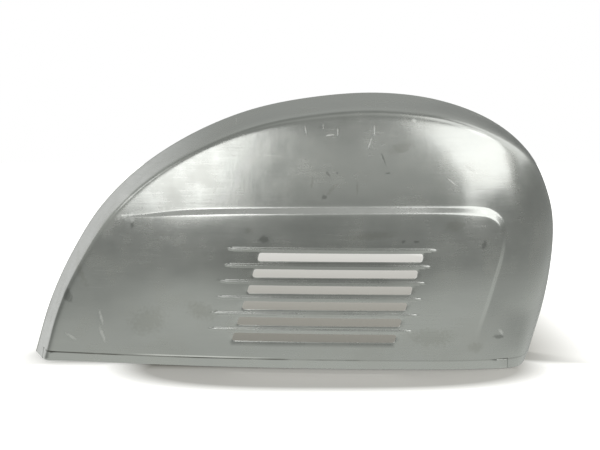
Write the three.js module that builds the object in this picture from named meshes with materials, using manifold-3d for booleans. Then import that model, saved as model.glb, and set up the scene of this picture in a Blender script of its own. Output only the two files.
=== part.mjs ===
// Right-hand engine cowl of a classic scooter: a pressed steel shell that hangs on the frame by a top
// hook, a tail peg and a sprung catch. +X is the front of the scooter, +Y points at the scooter, +Z is up.
// Everything is drawn from the mounting plane (y = 0) and the ground line (z = 0), in millimetres.
import * as THREE from 'three';
import { mergeVertices } from 'three/addons/utils/BufferGeometryUtils.js';
import { ConvexHull } from 'three/addons/math/ConvexHull.js';
import Module from 'manifold-3d';

// ---- Driving dimensions ----------------------------------------------------------------------------
const SHEET = 1; // steel sheet of the skin and the lower strip
const BRACKET_SHEET = 2; // steel sheet of the brackets
const GAP = 0.3; // clearance between pieces that touch
const HOLE_SIDES = 16;

// Rim of the cowl in side view, from the tail's foot over the top to the front's foot (x, z).
const ARCH = [
  [-364, 0], [-343.6, 69.3], [-313.2, 137], [-270.7, 204.4], [-216, 258.5], [-144.1, 304.9],
  [-63.3, 338.3], [24, 356.3], [116, 362.4], [201, 352], [275, 323.4], [327, 279],
  [354, 222], [361.5, 165], [352.2, 86.3], [328.5, 0],
];
const ARCH_RUN_ON = 60; // straight run past both feet, used only to measure distances

// Pressed face: depth below the mounting plane and how it falls away.
const FACE_DEPTH = 172;
const DEEPEST_X = 180;
const TAIL_CURVE = 0.00031;
const FRONT_CURVE = 0.000016;
const CROWN_Z = 100;
const CROWN_CURVE = 0.0004;
const TOP_CURVE = 0.0000018;

// Side wall: [share of the rim's length, steepness, tightness of the shoulder, fall of the face beside it].
const WALL = [
  [0, 3.4, 14, 0], [0.12, 4.2, 16, 0], [0.3, 4.8, 15, 0], [0.58, 4.8, 11, 0], [0.68, 6, 8, 9],
  [0.78, 8, 5, 24], [0.86, 6, 3.4, 24], [0.94, 4.5, 3.4, 10], [1, 5, 5, 0],
];
const WALL_FLARE = 100;
const FALL_WIDTH = 90;

// Raised louvre panel: outline from the tail end to the lower front end (x, z).
const PANEL_LINE = [
  [-245, 197], [-198, 202], [-124, 210.5], [8, 213.5], [163, 215], [236, 213.5],
  [262, 207.5], [275.5, 193], [277.5, 173], [273.5, 148], [264, 116], [254, 83.5], [245, 57], [242, 40],
];
const PANEL_HEIGHT = 5;
const PANEL_STEP = 11;
const PANEL_TAIL = { width: 0.25, until: 0.2 }; // share of the step's width, and of the line's length
const PANEL_FRONT = { width: 0.55, from: 0.74, until: 0.84 };
const PANEL_FADE = { tail: [-255, -145], foot: [25, 135] }; // x and z over which the panel rises
const PANEL_STEP_ROUND = 0.22;

// Louvres: six slots, each with a bead pressed above it.
const SLOT_COUNT = 6;
const SLOT_PITCH = 21.2;
const SLOT_SHIFT = 6.8;
const SLOT_TOP_Z = 148;
const SLOT_TOP_X = [-47, 166];
const SLOT_HEIGHT = 10.6;
const SLOT_CORNER = 3.4;
const BEAD_RISE = 9.9; // bead centre above its slot's centre
const BEAD_HEIGHT = 1.6;
const BEAD_HALF_WIDTH = 2.1;
const BEAD_SECTION = [[1.1, 0], [0.55, 0.7], [0, 1], [-0.55, 0.7], [-1.1, 0]]; // across and share of height
const BEAD_LEFT = [-87, -91, -97, -102, -110, -113];
const BEAD_RIGHT = [184, 176, 169, 165, 160, 153];

// Rim flange, lower edge and their welded strips.
const FLANGE = 13;
const FOOT_Z = 13.5; // lower edge of the pressed face
const FACE_FOOT = [-345.5, 281]; // the face ends at FOOT_Z between these, the end walls run to the ground
const STRIP_TOP_Z = 30;
const STRIP_TILT = 7;
const STRIP_FLANGE = 14;
const RAIL_SPAN = [0.36, 0.67]; // share of the rim's length
const RAIL_WIDTH = [2.8, 15];
const RAIL_SHEET = 1.5;

// Fixing points in the mounting plane.
const HOOK_X = 118;
const HOOK_WIDTH = 44;
const HOOK_SHEET = 4;
const HOOK_REACH = 18;
const BOLT_SPREAD = 13;
const BOLT_Z = 318;
const BOLT_RADIUS = 3;
const HEX_FLATS = 10;
const PEG = [-318, 62];
const PEG_RADIUS = 5;
const PEG_REACH = 20;
const PIVOT = [300, 50];
const PIVOT_RADIUS = 5;
const CATCH_SHEET = 3;
const SPRING_WIRE = 0.8;
const SPRING_RADIUS = 7.2;
const SPRING_START = 69; // angle of the first coil point, degrees from +X towards +Z
const SPRING_SWEEP = 1006; // degrees of winding between the two legs
const SPRING_LEGS = { tab: [140.3, 22], post: [67.8, 28] }; // angle and radius of the leg ends
const SPRING_POST = [312, 72];
const BUFFER_PLACES = [0.26, 0.345, 0.745, 0.87]; // share of the rim's length
const BUFFER_INSET = 7;

// ---- Solids ----------------------------------------------------------------------------------------
const wasm = await Module();
wasm.setup();

function toSolid(geometry) {
  const bare = geometry.clone();
  bare.deleteAttribute('normal');
  bare.deleteAttribute('uv');
  const merged = mergeVertices(bare, 1e-4);
  return new wasm.Manifold(new wasm.Mesh({
    numProp: 3,
    vertProperties: new Float32Array(merged.attributes.position.array),
    triVerts: new Uint32Array(merged.index.array),
  }));
}

function toGeometry(solid) {
  const mesh = solid.getMesh();
  const geometry = new THREE.BufferGeometry();
  geometry.setAttribute('position', new THREE.BufferAttribute(new Float32Array(mesh.vertProperties), 3));
  geometry.setIndex(new THREE.BufferAttribute(new Uint32Array(mesh.triVerts), 1));
  geometry.computeVertexNormals();
  return geometry;
}

const join = (...geometries) => toGeometry(geometries.map(toSolid).reduce((a, b) => a.add(b)));

const cut = (geometry, ...tools) =>
  toGeometry(tools.map(toSolid).reduce((solid, tool) => solid.subtract(tool), toSolid(geometry)));

// A sheet: outer and inner points paired one to one, with triangles that face outward on the outer side.
function sheetSolid(outer, inner, triangles) {
  const count = outer.length;
  const index = [];
  const open = new Map();
  for (const [a, b, c] of triangles) {
    index.push(a, b, c, a + count, c + count, b + count);
    for (const [from, to] of [[a, b], [b, c], [c, a]]) {
      if (!open.delete(`${to},${from}`)) open.set(`${from},${to}`, [from, to]);
    }
  }
  for (const [from, to] of open.values()) {
    index.push(to, from, from + count, to, from + count, to + count);
  }
  const geometry = new THREE.BufferGeometry();
  geometry.setAttribute('position', new THREE.Float32BufferAttribute([...outer, ...inner].flat(), 3));
  geometry.setIndex(index);
  return geometry;
}

// Triangles of a grid whose points are numbered row by row.
function gridTriangles(rows, columns) {
  const triangles = [];
  for (let row = 0; row + 1 < rows; row += 1) {
    for (let column = 0; column + 1 < columns; column += 1) {
      const corner = row * columns + column;
      triangles.push([corner, corner + 1, corner + columns]);
      triangles.push([corner + 1, corner + columns + 1, corner + columns]);
    }
  }
  return triangles;
}

// Delaunay triangles of points in the plane: the underside of their hull on a paraboloid.
function planeTriangles(points) {
  const lifted = points.map(([x, z]) => new THREE.Vector3(x, z, (x * x + z * z) / 500));
  const numbers = new Map(lifted.map((point, number) => [point, number]));
  const hull = new ConvexHull().setFromPoints(lifted);
  const triangles = [];
  for (const face of hull.faces) {
    if (face.normal.z > -1e-4) continue;
    const corners = [face.edge.next.next, face.edge.next, face.edge];
    triangles.push(corners.map((edge) => numbers.get(edge.head().point)));
  }
  return triangles;
}

// A plate drawn in side view (x, z) with holes, from yFront to yBack.
function plate(points, yFront, yBack, holes = []) {
  const shape = new THREE.Shape(points.map(([x, z]) => new THREE.Vector2(x, z)));
  for (const [x, z, radius] of holes) {
    shape.holes.push(new THREE.Path().absarc(x, z, radius, 0, 2 * Math.PI, true));
  }
  const options = { depth: yBack - yFront, bevelEnabled: false, curveSegments: HOLE_SIDES };
  return new THREE.ExtrudeGeometry(shape, options).rotateX(Math.PI / 2).translate(0, yBack, 0);
}

// A turned piece with its axis along +Y through (x, z). The profile is a list of [radius, y].
function turned([x, z], profile, sides = HOLE_SIDES) {
  const points = profile.map(([radius, y]) => new THREE.Vector2(radius, y));
  return new THREE.LatheGeometry(points, sides).translate(x, 0, z);
}

const rod = (centre, radius, yFront, yBack, sides = HOLE_SIDES) =>
  turned(centre, [[0, yFront], [radius, yFront], [radius, yBack], [0, yBack]], sides);

const ring = (centre, inside, outside, yFront, yBack) => turned(centre, [
  [inside, yFront], [outside, yFront], [outside, yBack], [inside, yBack], [inside, yFront],
]);

// ---- Shape of the cowl -----------------------------------------------------------------------------
const smooth = (t) => {
  const clamped = Math.min(Math.max(t, 0), 1);
  return clamped * clamped * (3 - 2 * clamped);
};

const curveThrough = (points) =>
  new THREE.CatmullRomCurve3(points.map(([x, z]) => new THREE.Vector3(x, 0, z)), false, 'catmullrom', 0.5);

const archCurve = curveThrough(ARCH);
const ARCH_LENGTH = archCurve.getLength();
const ARCH_SAMPLES = archCurve.getSpacedPoints(360).map(({ x, z }) => [x, z]);
const PANEL_SAMPLES = curveThrough(PANEL_LINE).getSpacedPoints(120).map(({ x, z }) => [x, z]);

// Nearest place on a line of points: signed distance (positive to the right of travel) and share of length.
function nearest(line, x, z, runOn = 0) {
  let best = { distance: Infinity, share: 0 };
  for (let i = 0; i + 1 < line.length; i += 1) {
    const [ax, az] = line[i];
    const dx = line[i + 1][0] - ax;
    const dz = line[i + 1][1] - az;
    const length = Math.hypot(dx, dz);
    const low = i === 0 ? -runOn / length : 0;
    const high = i + 2 === line.length ? 1 + runOn / length : 1;
    const along = Math.min(Math.max(((x - ax) * dx + (z - az) * dz) / length ** 2, low), high);
    const distance = Math.hypot(x - ax - along * dx, z - az - along * dz);
    if (distance < Math.abs(best.distance)) {
      const side = (x - ax) * dz - (z - az) * dx >= 0 ? 1 : -1;
      const share = (i + along) / (line.length - 1);
      best = { distance: side * distance, share: Math.min(Math.max(share, 0), 1) };
    }
  }
  return best;
}

function wallAt(share) {
  const upper = Math.max(WALL.findIndex(([place]) => place >= share), 1);
  const [from, ...valuesFrom] = WALL[upper - 1];
  const [to, ...valuesTo] = WALL[upper];
  const mix = smooth((share - from) / (to - from));
  return valuesFrom.map((value, i) => value + mix * (valuesTo[i] - value));
}

function faceDepth(x, z) {
  const along = x - DEEPEST_X;
  const above = z - CROWN_Z;
  const plan = TAIL_CURVE * along ** 2 + FRONT_CURVE * Math.max(along, 0) ** 3;
  const lean = CROWN_CURVE * above ** 2 + TOP_CURVE * Math.max(above, 0) ** 3;
  return FACE_DEPTH - plan - lean;
}

// A straight ramp from 0 to 1 with rounded ends.
function ramp(t) {
  const round = PANEL_STEP_ROUND;
  if (t <= 0) return 0;
  if (t >= 1) return 1;
  if (t < round) return (t * t) / (2 * round * (1 - round));
  if (t > 1 - round) return 1 - (1 - t) ** 2 / (2 * round * (1 - round));
  return (t - round / 2) / (1 - round);
}

// Width of the panel's step at a share of its line's length: narrower at the tail and at the front.
function stepWidth(share) {
  const tail = PANEL_TAIL.width + (1 - PANEL_TAIL.width) * smooth(share / PANEL_TAIL.until);
  const turned = smooth((share - PANEL_FRONT.from) / (PANEL_FRONT.until - PANEL_FRONT.from));
  return PANEL_STEP * tail * (1 - (1 - PANEL_FRONT.width) * turned);
}

function panelHeight(x, z) {
  const rise = (value, [low, high]) => smooth((value - low) / (high - low));
  const fade = rise(x, PANEL_FADE.tail) * rise(z, PANEL_FADE.foot);
  if (fade === 0) return 0;
  const { distance, share } = nearest(PANEL_SAMPLES, x, z);
  return PANEL_HEIGHT * fade * ramp(distance / stepWidth(share));
}

// Depth of the outer surface below the mounting plane.
function skinDepth(x, z) {
  const { distance, share } = nearest(ARCH_SAMPLES, x, z, ARCH_RUN_ON);
  const [steepness, tightness, fall] = wallAt(share);
  const inset = Math.max(distance, 0);
  const wall = steepness * inset * (1 + (inset / WALL_FLARE) ** 2);
  if (wall === 0) return 0;
  const face = faceDepth(x, z) - fall * Math.max(1 - inset / FALL_WIDTH, 0) ** 2;
  return face * wall / (face ** tightness + wall ** tightness) ** (1 / tightness) + panelHeight(x, z);
}

// A point of the skin, sunk below the outer surface along its normal.
function skinPoint(x, z, sink = 0) {
  const step = 0.2;
  const slopeX = (skinDepth(x + step, z) - skinDepth(x - step, z)) / (2 * step);
  const slopeZ = (skinDepth(x, z + step) - skinDepth(x, z - step)) / (2 * step);
  const scale = sink / Math.hypot(slopeX, 1, slopeZ);
  return [x + scale * slopeX, -skinDepth(x, z) + scale, Math.max(z + scale * slopeZ, 0)];
}

// A point inside the rim: share of the rim's length and distance in from it. Rows near the feet run level.
function rimPoint(share, inset) {
  const at = archCurve.getPointAt(share);
  const tangent = archCurve.getTangentAt(share);
  const tail = share < 0.5;
  const level = 1 - smooth(Math.min(share, 1 - share) * ARCH_LENGTH / 45);
  const inward = new THREE.Vector2(tangent.z, -tangent.x).lerp(new THREE.Vector2(tail ? 1 : -1, 0), level);
  inward.normalize();
  return [at.x + inset * inward.x, at.z + inset * inward.y];
}

// Outer outline of the cowl in plan at height z, from the tail to the front, with its inward directions.
function planOutline(z, sink = 0) {
  const tailX = nearestRimX(z, 1);
  const frontX = nearestRimX(z, -1);
  const ends = [0.8, 3, 6, 10, 14, 18, 22, 27, 33, 40, 50];
  const middle = 28;
  const xs = ends.map((inset) => tailX + inset);
  for (let i = 1; i < middle; i += 1) xs.push(tailX + 50 + (frontX - tailX - 100) * i / middle);
  xs.push(...ends.map((inset) => frontX - inset), FACE_FOOT[0] + 1.8, FACE_FOOT[1] - 1.8);
  xs.sort((a, b) => a - b);
  const points = xs.map((x) => [x, -skinDepth(x, z)]);
  return points.map(([x, y], i) => {
    const [ax, ay] = points[Math.max(i - 1, 0)];
    const [bx, by] = points[Math.min(i + 1, points.length - 1)];
    const length = Math.hypot(bx - ax, by - ay);
    const inward = [-(by - ay) / length, (bx - ax) / length];
    return { x: x + sink * inward[0], y: y + sink * inward[1], inward };
  });
}

// Where the rim crosses height z, at the tail (side 1) or the front (side -1).
function nearestRimX(z, side) {
  const line = side > 0 ? ARCH_SAMPLES : [...ARCH_SAMPLES].reverse();
  const next = line.findIndex(([, height]) => height > z);
  const [ax, az] = line[next - 1];
  const [bx, bz] = line[next];
  return ax + (bx - ax) * (z - az) / (bz - az);
}

// ---- The pressed skin ------------------------------------------------------------------------------
function cowlSkin() {
  const columns = 54;
  const rowInsets = [0.6, 3, 6.5, 11, 17, 24, 34, 47];
  const flangeRows = [[0, 1.2], [1.2, 0], [FLANGE, 0]]; // inset and depth, outer side
  const flangeInner = [[SHEET + 0.1, 2.2], [SHEET + 1, SHEET], [FLANGE, SHEET]];
  const plane = [];
  const footAt = (x) => (x > FACE_FOOT[0] && x < FACE_FOOT[1] ? FOOT_Z : 0);

  for (const inset of rowInsets) {
    for (let column = 0; column <= columns; column += 1) {
      const point = rimPoint(column / columns, inset);
      const edge = column === 0 || column === columns;
      const nearFoot = footAt(point[0]) > 0 && point[1] < STRIP_TOP_Z + 6;
      if (inset === rowInsets[0] || (edge ? !footAt(point[0]) : !nearFoot)) plane.push(point);
    }
  }
  const [footTail, footFront] = FACE_FOOT;
  plane.push([footTail, 0], [footTail + 0.5, FOOT_Z], [footFront, 0], [footFront - 0.5, FOOT_Z]);
  for (const level of [FOOT_Z, STRIP_TOP_Z]) {
    for (const { x } of planOutline(level)) {
      if (x > footTail + 1 && x < footFront - 1) plane.push([x, level]);
    }
  }

  const panelCurve = curveThrough(PANEL_LINE);
  const panelColumns = 36;
  for (let column = 0; column <= panelColumns; column += 1) {
    const at = panelCurve.getPointAt(column / panelColumns);
    const tangent = panelCurve.getTangentAt(column / panelColumns);
    const width = stepWidth(column / panelColumns);
    for (const across of [0, 0.25, 0.75, 1]) {
      const point = [at.x + across * width * tangent.z, at.z - across * width * tangent.x];
      if (nearest(ARCH_SAMPLES, ...point).distance > 50) plane.push(point);
    }
  }
  const spacing = 30;
  for (let row = 0; row < 12; row += 1) {
    for (let column = 0; column < 25; column += 1) {
      const x = ARCH[0][0] + (column + (row % 2) / 2) * spacing;
      const z = STRIP_TOP_Z + 20 + row * spacing * 0.87;
      const inRim = nearest(ARCH_SAMPLES, x, z).distance > 58;
      const panel = nearest(PANEL_SAMPLES, x, z).distance;
      if (inRim && (panel < -9 || panel > PANEL_STEP + 9)) plane.push([x, z]);
    }
  }

  const inside = ([a, b, c]) => {
    const x = (plane[a][0] + plane[b][0] + plane[c][0]) / 3;
    const z = (plane[a][1] + plane[b][1] + plane[c][1]) / 3;
    return z > footAt(x) && Math.max(a, b, c) > columns;
  };
  const triangles = planeTriangles(plane).filter(inside);
  const outer = plane.map(([x, z]) => skinPoint(x, z));
  const inner = plane.map(([x, z]) => skinPoint(x, z, SHEET));

  let previous = 0;
  flangeRows.forEach(([inset, depth], row) => {
    const first = outer.length;
    const [innerInset, innerDepth] = flangeInner[row];
    for (let column = 0; column <= columns; column += 1) {
      const [x, z] = rimPoint(column / columns, inset);
      const [innerX, innerZ] = rimPoint(column / columns, innerInset);
      outer.push([x, -depth, z]);
      inner.push([innerX, -innerDepth, innerZ]);
    }
    for (let column = 0; column < columns; column += 1) {
      triangles.push([previous + column, previous + column + 1, first + column + 1]);
      triangles.push([previous + column, first + column + 1, first + column]);
    }
    previous = first;
  });

  const solid = sheetSolid(outer, inner, triangles);
  const beads = Array.from({ length: SLOT_COUNT }, (_, number) => bead(number));
  const slots = Array.from({ length: SLOT_COUNT }, (_, number) => slotTool(number));
  const holes = BUFFER_PLACES.map((share) => rod(rimPoint(share, BUFFER_INSET), 2.6, -4, 4, 12));
  return cut(join(solid, ...beads), ...slots, ...holes);
}

const slotCentreZ = (number) => SLOT_TOP_Z - number * SLOT_PITCH;

function slotTool(number) {
  const z = slotCentreZ(number);
  const lean = SLOT_SHIFT / SLOT_PITCH * SLOT_HEIGHT / 2;
  const left = SLOT_TOP_X[0] - number * SLOT_SHIFT;
  const right = SLOT_TOP_X[1] - number * SLOT_SHIFT;
  const high = z + SLOT_HEIGHT / 2;
  const low = z - SLOT_HEIGHT / 2;
  const corners = [[left - lean, low], [right - lean, low], [right + lean, high], [left + lean, high]];
  return plate(roundCorners(corners, SLOT_CORNER), -FACE_DEPTH - 20, -FACE_DEPTH + 60);
}

function roundCorners(corners, radius, steps = 4) {
  const towards = (from, to) => new THREE.Vector2(to[0] - from[0], to[1] - from[1]).normalize();
  return corners.flatMap((corner, i) => {
    const before = towards(corner, corners[(i + corners.length - 1) % corners.length]);
    const after = towards(corner, corners[(i + 1) % corners.length]);
    const reach = radius / Math.tan(Math.acos(before.dot(after)) / 2);
    const bend = new THREE.QuadraticBezierCurve(
      new THREE.Vector2(corner[0] + reach * before.x, corner[1] + reach * before.y),
      new THREE.Vector2(...corner),
      new THREE.Vector2(corner[0] + reach * after.x, corner[1] + reach * after.y),
    );
    return bend.getPoints(steps).map(({ x, y }) => [x, y]);
  });
}

// A half-round bead rooted in the sheet, tapering at both ends.
function bead(number) {
  const z = slotCentreZ(number) + BEAD_RISE;
  const left = BEAD_LEFT[number];
  const right = BEAD_RIGHT[number];
  const stations = [[0, 0.25], [1.5, 0.75], [5, 1]];
  const length = right - left;
  for (let i = 1; i < 6; i += 1) stations.push([length * i / 6, 1]);
  stations.push([length - 5, 1], [length - 1.5, 0.75], [length, 0.25]);
  const crest = [];
  const root = [];
  for (const [along, size] of stations) {
    for (const [across, rise] of BEAD_SECTION) {
      const height = z + across * BEAD_HALF_WIDTH * (0.4 + 0.6 * size);
      const sink = rise > 0 ? -rise * size * BEAD_HEIGHT : SHEET * 0.4;
      crest.push(skinPoint(left + along, height, sink));
      root.push(skinPoint(left + along, height, SHEET * 0.75));
    }
  }
  return sheetSolid(crest, root, gridTriangles(stations.length, BEAD_SECTION.length));
}

// ---- Welded strips ---------------------------------------------------------------------------------
// How far the lower band leans in: nothing where it meets the end walls.
function bandLean(x) {
  const fromEnd = Math.min(x - FACE_FOOT[0], FACE_FOOT[1] - x);
  return STRIP_TILT * smooth((fromEnd - 2) / 40);
}

function lowerEdgeStrip() {
  const low = planOutline(FOOT_Z);
  const high = planOutline(STRIP_TOP_Z);
  const outer = [];
  const inner = [];
  let stations = 0;
  low.forEach((foot, i) => {
    if (foot.x < FACE_FOOT[0] + 1.6 || foot.x > FACE_FOOT[1] - 1.6) return;
    const lean = bandLean(foot.x);
    const behind = SHEET + 2 * GAP;
    const at = ({ x, y, inward }, inset, z) => [x + inset * inward[0], y + inset * inward[1], z];
    outer.push(
      at(high[i], behind, STRIP_TOP_Z),
      at(foot, behind, FOOT_Z + 1),
      at(foot, behind + lean, 1),
      at(foot, behind + lean + 1, 0),
      at(foot, behind + lean + STRIP_FLANGE, 0),
    );
    inner.push(
      at(high[i], behind + SHEET, STRIP_TOP_Z),
      at(foot, behind + SHEET, FOOT_Z + 1),
      at(foot, behind + lean + SHEET, 1.8),
      at(foot, behind + lean + 1.8, SHEET),
      at(foot, behind + lean + STRIP_FLANGE, SHEET),
    );
    stations += 1;
  });
  return sheetSolid(outer, inner, gridTriangles(stations, 5));
}

// A flat strip that follows the rim: span is [from, to] in shares of its length, insets [outer, inner].
function rimStrip(span, insets, yFront, yBack, stations) {
  const back = [];
  const front = [];
  for (let i = 0; i <= stations; i += 1) {
    const share = span[0] + (span[1] - span[0]) * i / stations;
    for (const inset of insets) {
      const [x, z] = rimPoint(share, inset);
      back.push([x, yBack, z]);
      front.push([x, yFront, z]);
    }
  }
  return sheetSolid(back, front, gridTriangles(stations + 1, 2).map(([a, b, c]) => [a, c, b]));
}

// A flat plate in a lower corner of the cowl, between two plan x values, along the inside of the wall.
function cornerPlate(fromX, toX) {
  const level = SHEET + GAP;
  const outline = planOutline(FOOT_Z).filter(({ x }) => x > fromX && x < toX);
  const top = [];
  const bottom = [];
  for (const { x, y, inward } of outline) {
    for (const inset of [6 + bandLean(x), 21]) {
      const point = [x + inset * inward[0], Math.min(y + inset * inward[1], -SHEET - GAP)];
      bottom.push([...point, level]);
      top.push([...point, level + SHEET]);
    }
  }
  return sheetSolid(bottom, top, gridTriangles(outline.length, 2));
}

// ---- Top hook --------------------------------------------------------------------------------------
const RAIL_Y = [-SHEET - GAP - RAIL_SHEET, -SHEET - GAP];
const TOP_BRACKET_Y = [RAIL_Y[0] - GAP - BRACKET_SHEET, RAIL_Y[0] - GAP];
const HOOK_Y = [TOP_BRACKET_Y[1] + GAP, TOP_BRACKET_Y[1] + GAP + HOOK_SHEET];
const BOLT_XS = [HOOK_X - BOLT_SPREAD, HOOK_X + BOLT_SPREAD];
const BOLT_HOLES = BOLT_XS.map((x) => [x, BOLT_Z, BOLT_RADIUS + GAP]);

// A plate with rounded corners that widens towards the rim, folded outward at both sides and below.
function topBracket() {
  const [front, back] = TOP_BRACKET_Y;
  const halfLow = 34;
  const halfHigh = 44;
  const [low, high] = [302, 354];
  const corner = 4;
  const place = (points) => points.map(([x, z]) => [HOOK_X + x, z]);
  const face = plate(place([
    [corner - halfLow, low], [halfLow - corner, low], [halfLow, low + corner], [halfHigh, high - corner],
    [halfHigh - corner, high], [corner - halfHigh, high], [-halfHigh, high - corner],
    [-halfLow, low + corner],
  ]), front, back, BOLT_HOLES);
  const sides = [-1, 1].map((side) => plate(place([
    [side * halfLow, low + corner], [side * halfHigh, high - corner],
    [side * (halfHigh - BRACKET_SHEET), high - corner], [side * (halfLow - BRACKET_SHEET), low + corner],
  ]), front - 12, front + 0.5));
  const lower = plate(place([
    [corner - halfLow, low], [halfLow - corner, low],
    [halfLow - corner, low + BRACKET_SHEET], [corner - halfLow, low + BRACKET_SHEET],
  ]), front - 8, front + 0.5);
  return join(face, ...sides, lower);
}

function topHook() {
  const [front, back] = HOOK_Y;
  const half = HOOK_WIDTH / 2;
  const base = plate([
    [HOOK_X - half, 306], [HOOK_X + half, 306], [HOOK_X + half, 334], [HOOK_X + half - 7, 344],
    [HOOK_X - half + 7, 344], [HOOK_X - half, 334],
  ], front, back, BOLT_HOLES);
  const width = HOOK_WIDTH - 14;
  const reach = new THREE.BoxGeometry(width, HOOK_REACH - front, HOOK_SHEET);
  reach.translate(HOOK_X, (HOOK_REACH + front) / 2, 342);
  const lip = new THREE.BoxGeometry(width, HOOK_SHEET, 20);
  lip.translate(HOOK_X, HOOK_REACH - HOOK_SHEET / 2, 334);
  return join(base, reach, lip);
}

const hexRadius = HEX_FLATS / 2 / Math.cos(Math.PI / 6);

function hookBolt(x) {
  const underHead = HOOK_Y[1] + GAP;
  const head = rod([x, BOLT_Z], hexRadius, underHead, underHead + 4, 6);
  const shank = rod([x, BOLT_Z], BOLT_RADIUS, TOP_BRACKET_Y[0] - 8, underHead + 1, 16);
  return join(head, shank);
}

function hexNut([x, z], inside, yBack, size = hexRadius) {
  return cut(rod([x, z], size, yBack - 5, yBack, 6), rod([x, z], inside, yBack - 6, yBack + 1, 16));
}

// ---- Tail peg --------------------------------------------------------------------------------------
const PLATE_Y = [-SHEET - GAP - BRACKET_SHEET, -SHEET - GAP];

function tailBracket() {
  const span = [0.036, 0.085];
  const base = rimStrip(span, [3.4, 52], ...PLATE_Y, 4);
  const fold = rimStrip(span, [50, 52], PLATE_Y[0] - 16, PLATE_Y[0] + 0.5, 4);
  return cut(join(base, fold), rod(PEG, PEG_RADIUS + GAP, -10, 5));
}

function tailPeg() {
  const collar = PLATE_Y[1] + GAP;
  return turned(PEG, [
    [0, -13], [4, -13], [4, PLATE_Y[0] - GAP], [PEG_RADIUS, PLATE_Y[0] - GAP], [PEG_RADIUS, collar],
    [9, collar], [9, collar + 3], [PEG_RADIUS, collar + 3], [PEG_RADIUS, PEG_REACH - 2],
    [PEG_RADIUS - 1.5, PEG_REACH], [0, PEG_REACH],
  ]);
}

// ---- Swing catch -----------------------------------------------------------------------------------
const CATCH_Y = [1.1, 1.1 + CATCH_SHEET];
const around = (angle, radius) => {
  const turn = THREE.MathUtils.degToRad(angle);
  return [PIVOT[0] + radius * Math.cos(turn), PIVOT[1] + radius * Math.sin(turn)];
};

// An arm of the catch: a tapered plate from the hub, at an angle in degrees from +X towards +Z.
function arm(angle, length, rootWidth, tipWidth) {
  const turn = THREE.MathUtils.degToRad(angle);
  const place = (along, across) => [
    PIVOT[0] + along * Math.cos(turn) - across * Math.sin(turn),
    PIVOT[1] + along * Math.sin(turn) + across * Math.cos(turn),
  ];
  return plate([
    place(0, -rootWidth), place(length - 3, -tipWidth), place(length, -tipWidth + 3),
    place(length, tipWidth - 3), place(length - 3, tipWidth), place(0, rootWidth),
  ], ...CATCH_Y);
}

// A block on the catch, square to an arm at the given angle.
function blockOnArm(angle, along, across, size, y) {
  const block = new THREE.BoxGeometry(size[0], y[1] - y[0], size[1]);
  block.translate(along, (y[0] + y[1]) / 2, across);
  block.rotateY(-THREE.MathUtils.degToRad(angle));
  return block.translate(PIVOT[0], 0, PIVOT[1]);
}

const CLAW_ANGLE = 165;
const FINGER_ANGLE = -68;

function latchCatch() {
  const hub = rod(PIVOT, 11, ...CATCH_Y, 32);
  const claw = arm(CLAW_ANGLE, 46, 9, 7);
  const clawEnd = blockOnArm(CLAW_ANGLE, 44.5, 0, [3, 14], [CATCH_Y[1] - 1, 16]);
  const clawLip = blockOnArm(CLAW_ANGLE, 40, 0, [10, 14], [13, 16]);
  const finger = arm(FINGER_ANGLE, 36, 9, 8);
  const fingerPad = blockOnArm(FINGER_ANGLE, 34.8, 0, [2.4, 16], [CATCH_Y[1] - 1, 12]);
  const springTab = blockOnArm(CLAW_ANGLE, 20, -7, [6, 2], [CATCH_Y[1] - 1, 9]);
  const body = join(hub, claw, clawEnd, clawLip, finger, fingerPad, springTab);
  return cut(body, rod(PIVOT, PIVOT_RADIUS + 0.2, -2, 8, 32));
}

function latchBracket() {
  const span = [0.922, 0.986];
  const base = rimStrip(span, [3.4, 72], ...PLATE_Y, 5);
  const fold = rimStrip(span, [70, 72], PLATE_Y[0] - 14, PLATE_Y[0] + 0.5, 5);
  const stop = blockOnArm(CLAW_ANGLE, 24, 11, [8, 3], [PLATE_Y[1] - 1, CATCH_Y[1]]);
  return cut(join(base, fold, stop), rod(PIVOT, PIVOT_RADIUS + GAP, -10, 5),
    rod(SPRING_POST, 2.5 + GAP, -10, 5, 16));
}

function latchPivot() {
  const head = PLATE_Y[0] - GAP;
  return turned(PIVOT, [
    [0, head - 2.5], [8, head - 2.5], [8, head], [PIVOT_RADIUS, head], [PIVOT_RADIUS, 12],
    [PIVOT_RADIUS - 1.2, 12], [PIVOT_RADIUS - 1.2, 13.4], [PIVOT_RADIUS, 13.4], [PIVOT_RADIUS, 14.4],
    [PIVOT_RADIUS - 1, 15.4], [0, 15.4],
  ], 20);
}

function latchClip() {
  const opening = 0.7; // half the open angle, radians
  const thickness = 0.8;
  const outline = new THREE.Shape();
  outline.absarc(...PIVOT, 8.5, opening, 2 * Math.PI - opening, false);
  outline.absarc(...PIVOT, 4.2, 2 * Math.PI - opening, opening, true);
  const options = { depth: thickness, bevelEnabled: false, curveSegments: 12 };
  return new THREE.ExtrudeGeometry(outline, options).rotateX(Math.PI / 2).translate(0, 13.1, 0);
}

function springPost() {
  const head = PLATE_Y[0] - GAP;
  return turned(SPRING_POST, [
    [0, head - 2], [4.5, head - 2], [4.5, head], [2.5, head], [2.5, 12], [1.6, 13], [0, 13],
  ], 16);
}

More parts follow.
